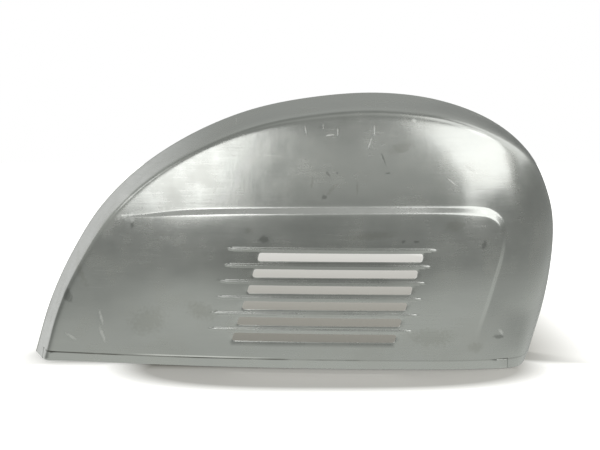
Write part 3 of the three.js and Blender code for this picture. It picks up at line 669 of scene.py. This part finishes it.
def make_floor():
    """A pale table that glows white away from the cowl, with a soft painted shade under and behind it."""
    front, back, side = -0.8, 7.0, 5.0
    points = [(x, y, -0.0004) for y in (front, back) for x in (-side, side)]
    floor = mesh_object("floor", points, [(0, 1, 3, 2)])
    floor.visible_glossy = False
    s = Shade("pale_table")
    x, y, _ = s.node("SeparateXYZ", {0: s.place}).outputs

    def spread(middle_x, middle_y, half_x, half_y, power):
        """1 on the edge of a rounded oval, less inside it."""
        u = s.math("DIVIDE", s.math("ABSOLUTE", s.math("SUBTRACT", x, middle_x), 0), half_x)
        v = s.math("DIVIDE", s.math("ABSOLUTE", s.math("SUBTRACT", y, middle_y), 0), half_y)
        total = s.plus(s.math("POWER", u, power), s.math("POWER", v, power))
        return s.math("POWER", total, 1 / power)

    # Painted shade: a rounded oval under the cowl's front and a long one behind it, inside which the floor
    # is darker and does not glow.
    under = s.span(spread(0.05, 0, 0.37, 0.31, 2.8), 0.64, 0.82)
    under = s.math("MAXIMUM", under, s.span(y, -0.04, -0.08, 0, 0.2))
    behind = s.span(spread(0.03, 0.65, 0.42, 1.15, 4), 0.69, 1.04)
    behind = s.math("MAXIMUM", behind, s.span(y, 0.5, 3.9))
    behind = s.math("MAXIMUM", behind, s.span(y, 0.02, -0.05))
    outside_painted_shade = s.math("MINIMUM", under, behind)
    away = s.node("VectorMath", {0: s.place, 1: (0, 0, 0)}, operation="DISTANCE").outputs["Value"]
    # The dark colour is the painted shade; the glow is painted light that keeps the rest of the floor
    # white.
    colour = s.mix(outside_painted_shade, (0.315, 0.302, 0.272, 1), (0.86, 0.855, 0.84, 1))
    painted_glow = s.times(outside_painted_shade, s.span(away, 0.6, 4, 0.55, 1.2))
    s.feed(s.shader.inputs["Base Color"], colour)
    s.feed(s.shader.inputs["Emission Strength"], painted_glow)
    s.shader.inputs["Emission Color"].default_value = (1, 0.995, 0.98, 1)
    s.shader.inputs["Roughness"].default_value = 0.75
    s.shader.inputs["Specular IOR Level"].default_value = 0.1
    floor.data.materials.append(s.material)


# ---- Materials ----
# Places in metres: the height of the panel's step, whose upward face gets a painted highlight, and the
# middle of the upper louvres, round which shade is painted
STEP_Z = 0.208
LOUVRES = (0.038, 0.127)
# Smudges and scuffs: place along and above the cowl, height and width, and turn from upright
DARK_MARKS = [
    (44, 256, 9, 3.5, 35), (56, 257, 5, 3, 0), (117, 274, 20, 3, 20), (122, 257, 3, 7, 0),
    (39, 226, 7, 8, 0), (141, 169, 5, 7, 30), (158, 169, 4, 8, 0), (-39, 171, 11, 16, 0),
    (247, 165, 14, 8, -20), (-305, 91, 26, 14, 15), (268, 43, 7, 16, 0), (-215, 187, 9, 7, 0),
]
FAINT_MARKS = [
    (23, 243, 18, 4, -8), (49, 236, 26, 6, -42), (82, 238, 20, 4, 0), (-195, 60, 40, 60, 20),
    (-120, 75, 26, 50, -15), (180, 44, 26, 70, 0), (100, 176, 12, 70, 5), (236, 30, 16, 22, 0),
    (-290, 130, 60, 12, 25), (140, 290, 16, 40, 20), (208, 189, 18, 30, 0), (-60, 182, 9, 14, 0),
]
LIGHT_MARKS = [
    (105, 312, 15, 1.8, 0), (99, 296, 16, 1.6, -20), (57, 310, 13, 1.6, 0), (38, 317, 9, 1.6, 0),
    (46, 306, 2, 14, 5), (157, 325, 6, 8, 0), (-257, 40, 24, 5, 20), (-299, 34, 5, 18, -30),
    (271, 49, 12, 5, 40), (-80, 325, 14, 1.6, 10), (-258, 62, 20, 4, 15), (15, 312, 12, 1.4, 10),
    (230, 262, 3, 22, -35), (205, 246, 2, 18, -40),
]


def bare_steel():
    s = Shade("bare_steel")
    broad = s.noise(5, 2)
    cloudy = s.noise(26, 4, 0.55)
    stained = s.span(s.noise(13, 6, 0.6), 0.5, 0.8)
    rubbed = s.noise(1, 4, 0.6, s.mapped((24, 24, 420), (0, 0.55, 0)))
    brushed = s.noise(1, 3, 0.6, s.mapped((60, 60, 9), (0, 0.75, 0)))
    scratch = s.span(s.noise(1, 2, 0.5, s.mapped((12, 12, 1100), (0, 0.5, 0))), 0.72, 0.8)
    crossed = s.span(s.noise(1, 2, 0.5, s.mapped((14, 14, 1300), (0, -0.85, 0))), 0.72, 0.8)
    lines = s.math("MAXIMUM", scratch, crossed)
    x, _, z = s.node("SeparateXYZ", {0: s.place}).outputs
    joint_z = float(ZERO[2]) + (FOOT_Z - 0.9) * MM
    # Painted shade in the gap between the skin's lower edge and the band: a dark line along the seam.
    painted_seam_shade = s.near(z, joint_z, 0.0015, 0.0004)
    painted_seam_shade = s.times(painted_seam_shade, s.span(s.math("ABSOLUTE", x, 0), 0.3385, 0.3375))
    painted_seam_shade = s.times(painted_seam_shade, s.span(s.plus(x, s.noise(22, 2)), 0.25, 0.6, 0.95, 0.25))
    # Painted highlight: a bright line just above the seam along part of the tail half, where the skin's
    # lower edge catches the light.
    painted_seam_highlight = s.near(z, joint_z + 0.0017, 0.0013, 0.0006)
    painted_seam_highlight = s.times(painted_seam_highlight, s.times(s.span(x, -0.22, -0.18), s.span(x, -0.02, -0.09)))
    normal = s.node("SeparateXYZ", {0: s.node("NewGeometry").outputs["Normal"]}).outputs
    outside = s.span(normal["Y"], 0.3, 0.1)
    # Painted highlight: the upward-facing strip of the panel's step is coloured lighter, as light from
    # above would make it.
    step = s.times(s.span(normal["Z"], 0.28, 0.42), s.span(x, 0.21, 0.16))
    step = s.times(step, s.span(x, -0.24, -0.2))
    step = s.times(step, s.near(z, STEP_Z, 0.02, 0.016))
    # Painted shade: the outer metal round the upper louvres is coloured darker.
    painted_louvre_shade = s.times(s.near(x, LOUVRES[0], 0.16, 0.08), s.near(z, LOUVRES[1], 0.045, 0.018))
    painted_louvre_shade = s.times(painted_louvre_shade, outside)
    dark, faint, light = [
        s.times(s.dabs(marks), outside) for marks in (DARK_MARKS, FAINT_MARKS, LIGHT_MARKS)]
    colour = s.mix(broad, (0.455, 0.465, 0.445, 1), (0.55, 0.56, 0.54, 1))
    colour = s.mix(s.span(cloudy, 0.35, 0.75, 0, 0.3), colour, (0.60, 0.60, 0.57, 1))
    colour = s.mix(s.times(stained, 0.22), colour, (0.40, 0.395, 0.35, 1))
    colour = s.mix(s.times(lines, 0.3), colour, (0.76, 0.76, 0.74, 1))
    colour = s.mix(s.times(faint, 0.28), colour, (0.33, 0.33, 0.29, 1))
    colour = s.mix(s.times(dark, 0.5), colour, (0.17, 0.175, 0.165, 1))
    colour = s.mix(s.times(painted_louvre_shade, 0.46), colour, (0.17, 0.175, 0.165, 1))
    colour = s.mix(s.times(step, 0.65), colour, (0.95, 0.95, 0.93, 1))
    colour = s.mix(painted_seam_shade, colour, (0.12, 0.118, 0.105, 1))
    colour = s.mix(s.times(painted_seam_highlight, 0.8), colour, (0.96, 0.96, 0.93, 1))
    colour = s.mix(s.times(light, 0.4), colour, (0.92, 0.92, 0.89, 1))
    rough = s.span(broad, 0.3, 0.7, 0.21, 0.27)
    rough = s.plus(rough, s.span(cloudy, 0.3, 0.8, -0.02, 0.05))
    rough = s.plus(rough, s.times(stained, 0.05))
    rough = s.plus(rough, s.times(light, 0.2))
    rough = s.plus(rough, s.times(s.math("SUBTRACT", rubbed, 0.5), 0.12))
    height = s.plus(s.times(rubbed, 0.2), s.times(lines, -0.3))
    height = s.plus(height, s.times(cloudy, 0.3))
    height = s.plus(height, s.times(brushed, 1.6))
    return s.finish(colour, rough, height, 0.00006)


def plain_steel():
    s = Shade("bracket_steel")
    broad = s.noise(18, 4)
    rolled = s.noise(1, 3, 0.6, s.mapped((60, 1200, 1200)))
    rust = s.span(s.noise(70, 6, 0.65), 0.6, 0.75)
    colour = s.mix(broad, (0.36, 0.365, 0.36, 1), (0.47, 0.475, 0.47, 1))
    colour = s.mix(s.times(rust, 0.4), colour, (0.22, 0.15, 0.1, 1))
    rough = s.plus(s.span(broad, 0.3, 0.7, 0.34, 0.46), s.times(rust, 0.2))
    height = s.plus(s.times(rolled, 0.5), s.times(rust, 0.6))
    return s.finish(colour, rough, height, 0.00005)


def zinc_plate():
    s = Shade("zinc_plate")
    broad = s.noise(60, 4)
    spangle = s.node("TexVoronoi", {"Vector": s.place, "Scale": 420.0}).outputs["Color"]
    colour = s.mix(broad, (0.56, 0.57, 0.58, 1), (0.7, 0.71, 0.71, 1))
    colour = s.mix(0.08, colour, spangle)
    rough = s.span(broad, 0.3, 0.7, 0.27, 0.42)
    height = s.noise(900, 3)
    return s.finish(colour, rough, height, 0.00002)


def spring_steel():
    s = Shade("spring_steel")
    broad = s.noise(150, 3)
    colour = s.mix(broad, (0.17, 0.175, 0.185, 1), (0.27, 0.28, 0.29, 1))
    rough = s.span(broad, 0.3, 0.7, 0.26, 0.4)
    drawn = s.noise(1, 2, 0.5, s.mapped((1500, 1500, 1500)))
    return s.finish(colour, rough, drawn, 0.00002)


def black_rubber():
    s = Shade("rubber")
    broad = s.noise(90, 4)
    grain = s.noise(1500, 3, 0.6)
    colour = s.mix(broad, (0.016, 0.016, 0.017, 1), (0.035, 0.034, 0.033, 1))
    rough = s.span(broad, 0.3, 0.7, 0.62, 0.82)
    return s.finish(colour, rough, grain, 0.00008, metallic=0.0)


# ---- Lower strip ----
def plan_outline(z, xs):
    """The cowl's outer outline in plan at a height, with its inward directions."""
    depth = skin_depth(xs, np.full(len(xs), float(z)), waves=False)
    slope = np.gradient(-depth, xs)
    inward = np.column_stack([-slope, np.ones(len(xs))])
    inward /= np.linalg.norm(inward, axis=1)[:, None]
    return np.column_stack([xs, -depth]), inward


def from_foot_end(xs):
    return np.minimum(xs - FACE_FOOT[0], FACE_FOOT[1] - xs)


def strip_lean(xs):
    """How far the strip leans in below the skin, less towards its ends."""
    return STRIP_TILT * smooth((from_foot_end(xs) - 2) / 40)


def make_strip():
    """The band welded behind the lower edge, which leans in below the skin and ends in a foot flange."""
    ends = np.array([-3, -0.6, 0.5, 1.2, 2.4, 4])
    between = np.linspace(FACE_FOOT[0] + 6, FACE_FOOT[1] - 6, 252)
    xs = np.concatenate([FACE_FOOT[0] + ends, between, FACE_FOOT[1] - ends[::-1]])
    low, inward = plan_outline(FOOT_Z, xs)
    high, inward_high = plan_outline(STRIP_TOP_Z, xs)
    from_end, lean = from_foot_end(xs), strip_lean(xs)
    at_end = 1 - smooth((from_end - 4) / 30)
    flush = (at_end * (from_end > 0.4))[:, None]
    behind = SHEET + 2 * GAP
    rows = []

    def row(base, ways, inset, z):
        plan = base + ways * np.asarray(inset).reshape(-1, 1)
        if z < FOOT_Z:
            plan[:, 1] += at_end * (plan_outline(z, xs)[0][:, 1] - low[:, 1])
            plan -= flush * ways * (behind - 0.1) * smooth((FOOT_Z - 0.4 - z) / 1.1)
        rows.append(np.column_stack([plan, np.full(len(xs), z)]))

    flat = np.zeros(len(xs))
    row(high, inward_high, flat + behind, STRIP_TOP_Z)
    for share in (0.3, 0.65):
        z = STRIP_TOP_Z + (FOOT_Z + 1.2 - STRIP_TOP_Z) * share
        plan = high + (low - high) * share
        row(plan, inward, flat + behind, z)
    for lean_share, z in [(0, 14.9), (0.04, 13.6), (0.12, 12), (0.32, 9), (0.56, 6), (0.8, 3.2)]:
        row(low, inward, behind + lean * lean_share, z)
    for turn in np.radians([15, 35, 55, 75, 90]):
        row(low, inward, behind + lean * 0.93 + 2 * (1 - np.cos(turn)), 2 * (1 - np.sin(turn)))
    for reach in (5, 9, STRIP_FLANGE):
        row(low, inward, behind + lean + reach, 0)
    faces = grid_faces(len(rows), len(xs), flip=True)
    strip = mesh_object("lower_band", placed(np.vstack(rows)), faces)
    thicken(strip, SHEET * MM)
    return strip


# ---- Small parts ----
def softened(path, size):
    """A path with each corner turned into a small arc."""
    made = [tuple(path[0])]
    for before, corner, after in zip(path, path[1:], path[2:]):
        corner = Vector(corner)
        back, on = Vector(before) - corner, Vector(after) - corner
        reach = min(size, 0.45 * back.length, 0.45 * on.length)
        for t in (0, 0.25, 0.5, 0.75, 1):
            point = corner + back.normalized() * reach * (1 - t) ** 2 + on.normalized() * reach * t**2
            made.append(tuple(point))
    return made + [tuple(path[-1])]


def close_up(piece):
    """Merges points that meet and turns every face outward."""
    shape = bmesh.new()
    shape.from_mesh(piece.data)
    bmesh.ops.remove_doubles(shape, verts=shape.verts, dist=2e-6)
    bmesh.ops.recalc_face_normals(shape, faces=shape.faces)
    shape.to_mesh(piece.data)
    shape.free()
    shade(piece.data)
    return piece


def lofted(name, rows, closed=False):
    """A skin over closed rows of points; a closed one joins its last row to its first."""
    count, total = len(rows[0]), len(rows)
    faces = [
        (r * count + c, r * count + (c + 1) % count,
         (r + 1) % total * count + (c + 1) % count, (r + 1) % total * count + c)
        for r in range(total if closed else total - 1) for c in range(count)
    ]
    return close_up(mesh_object(name, placed(np.vstack(rows)), faces))


def circle(centre, radius, y, sides=60):
    angles = np.linspace(0, 2 * math.pi, sides, endpoint=False)
    return np.column_stack([
        centre[0] + radius * np.cos(angles), np.full(sides, float(y)), centre[1] + radius * np.sin(angles)])


def turned(name, centre, profile, soft=0.4, closed=False):
    """A piece turned about an axis along Y: the profile lists radius and depth."""
    if closed:
        profile = [*profile, profile[0]]
    return lofted(name, [circle(centre, r, y) for r, y in softened(profile, soft)], closed)


def thread(radius, y_from, y_to, pitch=1.0):
    """Profile points of a screw thread."""
    turns = round(abs(y_to - y_from) / pitch)
    ys = np.linspace(y_from, y_to, 2 * turns + 1)
    return [(radius - 0.45 * (k % 2), y) for k, y in enumerate(ys)]


def hexagon(name, centre, flats, y_from, y_to, bore=0):
    """A hexagon with both ends turned to a chamfer, bored through for a nut."""
    angles = np.linspace(0, 2 * math.pi, 60, endpoint=False)
    reach = flats / 2 / np.cos((angles % (math.pi / 3)) - math.pi / 6)
    rows = []
    steps = (0, 0.15, 0.35, 0.6, 0.9)
    for y, inward in [(y_from + h, h) for h in steps] + [(y_to - h, h) for h in reversed(steps)]:
        radius = np.minimum(reach, flats / 2 - 0.1 + inward * 1.7)
        rows.append(circle(centre, radius, y))
    if not bore:
        return lofted(name, [circle(centre, 0, y_from), *rows, circle(centre, 0, y_to)])
    inner = [(bore + 0.5, y_to), *thread(bore, y_to - 0.4, y_from + 0.4), (bore + 0.5, y_from)]
    return lofted(name, rows + [circle(centre, r, y) for r, y in inner], closed=True)


def add_line(curve, points, cyclic=False):
    spline = curve.splines.new("POLY")
    spline.points.add(len(points) - 1)
    spline.use_cyclic_u = cyclic
    for point, place in zip(spline.points, points):
        point.co = (*place, 1)


def drawn_mesh(curve):
    drawn = new_object(curve.name, curve)
    mesh = evaluated_mesh(drawn)
    bpy.data.objects.remove(drawn)
    return mesh


def plate(name, outline, y_from, y_to, holes=(), bevel=0.35):
    """A flat plate facing Y with eased edges."""
    curve = bpy.data.curves.new(name, "CURVE")
    curve.dimensions = "2D"
    curve.fill_mode = "BOTH"
    curve.extrude = ((y_to - y_from) / 2 - bevel) * MM
    curve.bevel_depth = bevel * MM
    curve.bevel_resolution = 2
    curve.offset = -bevel * MM
    for loop in (outline, *holes):
        add_line(curve, [(x * MM, z * MM, 0) for x, z in loop], cyclic=True)
    mesh = drawn_mesh(curve)
    middle = Vector(placed([0, (y_from + y_to) / 2, 0]))
    mesh.transform(Matrix.Translation(middle) @ Matrix.Rotation(math.pi / 2, 4, "X"))
    mesh.name = name
    return close_up(new_object(name, mesh))


def bent_sheet(name, rows, thickness, flip=False):
    """A sheet over an open grid of points, thickened behind its faces, with eased edges."""
    sheet = mesh_object(name, placed(np.vstack(rows)), grid_faces(len(rows), len(rows[0]), flip))
    thicken(sheet, thickness * MM)
    edges = sheet.modifiers.new("edges", "BEVEL")
    edges.width = min(0.3, thickness / 4) * MM
    edges.segments = 2
    edges.angle_limit = math.radians(60)
    apply_modifiers(sheet)
    return sheet


def along_rim(name, span, path, thickness, soft=3):
    """A bent strip that follows the rim; its path across lists inset and depth."""
    shares = np.linspace(*span, 40)
    rows = []
    for inset, y in softened(path, soft):
        at = rim_points(shares, inset)
        rows.append(np.column_stack([at[:, 0], np.full(len(at), y), at[:, 1]]))
    return bent_sheet(name, rows, thickness)


def joined(name, pieces):
    """Several shells as one piece."""
    shape = bmesh.new()
    for piece in pieces:
        shape.from_mesh(piece.data)
        bpy.data.objects.remove(piece)
    mesh = bpy.data.meshes.new(name)
    shape.to_mesh(mesh)
    shape.free()
    shade(mesh)
    return new_object(name, mesh)


def strip_between(name, path, widths, middle_x, thickness, soft):
    """A strip bent about X: its path lists depth and height, and its widths go with distances along it."""
    bends = softened(path, soft)
    steps = np.linalg.norm(np.diff(np.array(bends), axis=0), axis=1)
    width = np.interp(np.concatenate([[0], np.cumsum(steps)]), *np.array(widths, float).T)
    rows = [
        np.column_stack([middle_x + np.linspace(-w / 2, w / 2, 9), np.full(9, y), np.full(9, z)])
        for (y, z), w in zip(bends, width)
    ]
    return bent_sheet(name, rows, thickness)


def make_top_bracket():
    """The plate behind the hook, with a fold at each side and below."""
    rows = []
    for z in np.linspace(306.5, 352, 12):
        half = 34 + 10 * (z - 302) / 52
        path = softened([(-half, -15), (-half, -3.1), (half, -3.1), (half, -15)], 3)
        rows.append(np.array([(HOOK_X + x, y, z) for x, y in path]))
    tray = bent_sheet("tray", rows, BRACKET_SHEET, flip=True)
    fold = [(-3.15, 310), (-3.15, 302), (-11, 302)]
    lip = strip_between("lip", fold, [(0, 60), (20, 60)], HOOK_X, BRACKET_SHEET, 3)
    return joined("hook_plate", [tray, lip])


def on_arm(angle, along, across):
    turn = math.radians(angle)
    return (
        PIVOT[0] + along * math.cos(turn) - across * math.sin(turn),
        PIVOT[1] + along * math.sin(turn) + across * math.cos(turn),
    )


def around_pivot(radii, angles):
    return [(PIVOT[0] + r * math.cos(a), PIVOT[1] + r * math.sin(a)) for r, a in zip(radii, angles)]


def arm_outline(angle, length, root, tip):
    lower = [(0, -root), (length - 3, -tip), (length, 3 - tip)]
    upper = [(along, -across) for along, across in reversed(lower)]
    return [on_arm(angle, *place) for place in lower + upper]


def reach_to(outline, angles):
    """How far a shape around the pivot reaches at each angle."""
    reach = np.zeros(len(angles))
    for i, start in enumerate(outline):
        a = np.array(start) - PIVOT
        b = np.array(outline[(i + 1) % len(outline)]) - PIVOT
        side = b - a
        for k, angle in enumerate(angles):
            way = (math.cos(angle), math.sin(angle))
            cross = way[0] * side[1] - way[1] * side[0]
            if abs(cross) < 1e-9:
                continue
            far = (a[0] * side[1] - a[1] * side[0]) / cross
            along = (a[0] * way[1] - a[1] * way[0]) / cross
            if far > 0 and -1e-9 <= along <= 1 + 1e-9:
                reach[k] = max(reach[k], far)
    return reach


def bent_end(name, angle, path, half_width, thickness, soft=3.5):
    """The turned-up end of an arm: its path lists distance along the arm and depth."""
    rows = []
    for along, y in softened(path, soft):
        places = [on_arm(angle, along, across) for across in np.linspace(-half_width, half_width, 7)]
        rows.append(np.array([(x, y, z) for x, z in places]))
    return bent_sheet(name, rows, thickness, flip=True)


def make_catch():
    """The hub and its two arms in one plate, with a claw, a finger pad and a tab for the spring."""
    angles = np.linspace(0, 2 * math.pi, 300, endpoint=False)
    arms = [arm_outline(CLAW_ANGLE, 44, 9, 7), arm_outline(FINGER_ANGLE, 34, 9, 8)]
    reach = np.maximum(11, np.maximum(*[reach_to(arm, angles) for arm in arms]))
    for _ in range(6):
        dip = (np.roll(reach, 1) + reach + np.roll(reach, -1)) / 3
        reach = np.where(reach < 24, np.maximum(reach, dip), reach)
    outline = around_pivot(reach, angles)
    bore = [(x, z) for x, _, z in circle(PIVOT, PIVOT_RADIUS + 0.3, 0)]
    low, high = CATCH_Y
    flat = plate("flat", outline, low, high, [bore], bevel=0.5)
    claw = bent_end("claw", CLAW_ANGLE, [(38, low + 0.02), (46, low + 0.02), (46, 16), (35, 16)], 7, 2.9)
    pad = bent_end("pad", FINGER_ANGLE, [(30, low + 0.02), (36, low + 0.02), (36, 12)], 8, 2.4)
    tab = plate("tab", [on_arm(CLAW_ANGLE, *place) for place in ((17, -8), (23, -8), (23, -6), (17, -6))],
                high - 1, 9, bevel=0.25)
    return joined("swing_catch", [flat, claw, pad, tab])


def make_spring():
    """A torsion spring: a leg on the catch's tab, a close coil, and a leg on the fixed post."""
    y_near, y_far = CATCH_Y[1] + GAP + SPRING_WIRE, 10.2
    stations = [(*SPRING_LEGS[0], y_near)]
    for share in np.linspace(0, 1, 90):
        turn, y = SPRING_START - SPRING_SWEEP * share, y_near + (y_far - y_near) * share
        stations.append((turn, SPRING_RADIUS, y))
    stations.append((*SPRING_LEGS[1], y_far))
    curve = bpy.data.curves.new("coil", "CURVE")
    curve.dimensions = "3D"
    curve.bevel_depth = SPRING_WIRE * MM
    curve.bevel_resolution = 4
    curve.use_fill_caps = True
    line = []
    for angle, radius, y in stations:
        x, z = on_arm(angle, radius, 0)
        line.append(placed([x, y, z]))
    add_line(curve, line)
    mesh = drawn_mesh(curve)
    mesh.name = "torsion_spring"
    return close_up(new_object("torsion_spring", mesh))


def make_gusset(name, from_x, to_x):
    """A small flat plate across a lower corner, along the inside of the wall."""
    xs = np.linspace(from_x, to_x, 30)
    outline, inward = plan_outline(FOOT_Z, xs)
    rows = []
    for inset in (6.2, 11, 16, 20.8):
        reach = inset + strip_lean(xs)[:, None] if inset < 20 else inset
        plan = outline + inward * reach
        plan[:, 1] = np.minimum(plan[:, 1], BEHIND_FLANGE)
        rows.append(np.column_stack([plan, np.full(len(xs), SHEET * 2 + GAP)]))
    return bent_sheet(name, rows, SHEET)


def make_bolt(name, x):
    under_head = 1.5
    head = hexagon("head", (x, BOLT_Z), 10, under_head, under_head + 4)
    shank = [(3, -5), (3, under_head + 0.5), (0, under_head + 0.5)]
    profile = [(0, -13.1), (2.3, -13.1), *thread(3, -12.4, -5.4), *shank]
    return joined(name, [head, turned("shank", (x, BOLT_Z), profile, soft=0.05)])


def make_clip():
    """A spring clip with three inner prongs, open on one side."""
    angles = np.radians(np.linspace(40, 320, 80))
    prongs = np.min([np.abs(angles - math.radians(a)) for a in (44, 180, 316)], axis=0) < 0.3
    inner = np.where(prongs, 4.2, 5.9)
    outer = np.full(len(angles), 8.5)
    outline = around_pivot(outer, angles) + around_pivot(inner[::-1], angles[::-1])
    return plate("retaining_clip", outline, 12.3, 13.1, bevel=0.15)


# ---- Putting it together ----
def wear(piece, slot, *nodes, body="cowl"):
    """Gives a piece its material and the body it rides, and hides the CAD nodes it stands for."""
    piece.data.materials.clear()
    piece.data.materials.append(MATERIALS[slot])
    if body:
        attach(piece, body)
    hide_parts(*nodes)


make_camera()
make_world()
make_floor()
area_light("back_lamp", 180, 52, 2.4, (1.3, 0.4), 12.7, glossy=False)
area_light("left_box", -31.5, 29, 2.6, (0.72, 1.65), 2.05)
area_light("right_box", 55.5, 38, 2.4, (2.9, 1.85), 1.58)
area_light("upper_right_box", 95, 64, 2.4, (1.3, 1.2), 0.9)
area_light("side_box", 123, 34, 2.4, (1.9, 1.6), 0.75)
area_light("far_left_box", -88, 40, 2.4, (0.9, 0.8), 1.0)

MATERIALS = {
    "bare_steel": bare_steel(), "bracket_steel": plain_steel(), "zinc_plate": zinc_plate(),
    "spring_steel": spring_steel(), "rubber": black_rubber(),
}

skin = make_skin()
thicken(skin, SHEET * MM)
wear(skin, "bare_steel", "cowl_skin")
wear(make_strip(), "bare_steel", "lower_edge_strip")
rail = along_rim("rim_rail", RAIL_SPAN, [(2.8, BEHIND_FLANGE), (15, BEHIND_FLANGE)], 1.5)
wear(rail, "bracket_steel", "rim_reinforcement")
wear(make_gusset("tail_corner_plate", -352, -322), "bracket_steel", "tail_gusset")
wear(make_gusset("front_corner_plate", 268, 322), "bracket_steel", "front_gusset")

wear(make_top_bracket(), "bracket_steel", "top_bracket")
hook_path = [(-2.8, 306), (-2.8, 334), (-2.8, 344), (18, 344), (18, 324)]
hook_widths = [(0, 44), (28, 44), (36, 31), (44, 30), (90, 30)]
wear(strip_between("hook", hook_path, hook_widths, HOOK_X, 4, 4.5), "zinc_plate", "top_hook")
for side, x in (("rear", HOOK_X - BOLT_SPREAD), ("front", HOOK_X + BOLT_SPREAD)):
    wear(make_bolt(f"bolt_{side}", x), "zinc_plate", f"hook_bolt_{side}")
    wear(hexagon(f"nut_{side}", (x, BOLT_Z), 10, -10.4, -5.4, 3.15), "zinc_plate", f"hook_nut_{side}")

tail_fold = [(3.4, BEHIND_FLANGE), (52, BEHIND_FLANGE), (52, BEHIND_FLANGE - 18)]
tail_plate = along_rim("tail_plate", (0.036, 0.085), tail_fold, BRACKET_SHEET)
wear(tail_plate, "bracket_steel", "tail_bracket")
peg_profile = [
    (0, -13), (3.4, -13), *thread(4, -12.2, -4.2), (4, -3.6), (5, -3.6), (5, -1), (9, -1), (9, 2), (5, 2),
    (5, 18), (3.5, 20), (0, 20),
]
wear(turned("locating_peg", PEG, peg_profile, soft=0.3), "zinc_plate", "tail_peg")
wear(hexagon("peg_nut", PEG, 13, -8.9, -3.9, 4.15), "zinc_plate", "tail_peg_nut")
ribs = [
    (5.3, 2.3), (10.4, 2.3), (11, 2.9), (11, 4.2), (10.1, 5.1), (11, 6), (11, 7.4), (10.4, 8), (5.3, 8)]
wear(turned("peg_buffer", PEG, ribs, soft=0.5, closed=True), "rubber", "tail_buffer")

latch_fold = [(3.4, BEHIND_FLANGE), (72, BEHIND_FLANGE), (72, BEHIND_FLANGE - 16)]
latch_plate = along_rim("latch_plate", (0.922, 0.986), latch_fold, BRACKET_SHEET)
stop_places = ((20, 9.5), (28, 9.5), (28, 12.5), (20, 12.5))
stop = plate("stop", [on_arm(CLAW_ANGLE, *place) for place in stop_places], -2.3, CATCH_Y[1], bevel=0.4)
wear(joined("latch_mount", [latch_plate, stop]), "bracket_steel", "latch_bracket")
pivot_profile = [
    (0, -6.1), (8, -6.1), (8, -3.6), (5, -3.6), (5, 12), (3.8, 12), (3.8, 13.4), (5, 13.4), (5, 14.4),
    (4, 15.4), (0, 15.4),
]
wear(turned("pivot_pin", PIVOT, pivot_profile), "zinc_plate", "latch_pivot")
post_profile = [(0, -5.6), (4.5, -5.6), (4.5, -3.6), (2.5, -3.6), (2.5, 12), (1.6, 13), (0, 13)]
wear(turned("spring_anchor", SPRING_POST, post_profile), "zinc_plate", "latch_spring_post")
for name, node, outside, y_from, y_to in [
        ("pivot_spacer", "latch_spacer", 9, -1, 0.8), ("pivot_washer", "latch_washer", 10, 11.2, 11.9)]:
    profile = [(5.3, y_from), (outside, y_from), (outside, y_to), (5.3, y_to)]
    wear(turned(name, PIVOT, profile, soft=0.2, closed=True), "zinc_plate", node)
wear(make_clip(), "spring_steel", "latch_clip")
wear(make_catch(), "zinc_plate", "latch_catch", body="catch")
spring = make_spring()
wear(spring, "spring_steel", "latch_spring", body=None)
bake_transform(spring)

for number, share in enumerate(BUFFER_PLACES, 1):
    profile = [
        (0, -6.5), (1.2, -6.5), (1.6, -6), (3, -4.2), (3, -1.6), (2.2, -1.6), (2.2, 0.3), (5, 0.3), (5, 3),
        (3.6, 4.3), (0, 4.3),
    ]
    centre = tuple(rim_points(np.array([share]), 7)[0])
    wear(turned(f"buffer_{number}", centre, profile, soft=0.5), "rubber", f"rim_buffer_{number}")
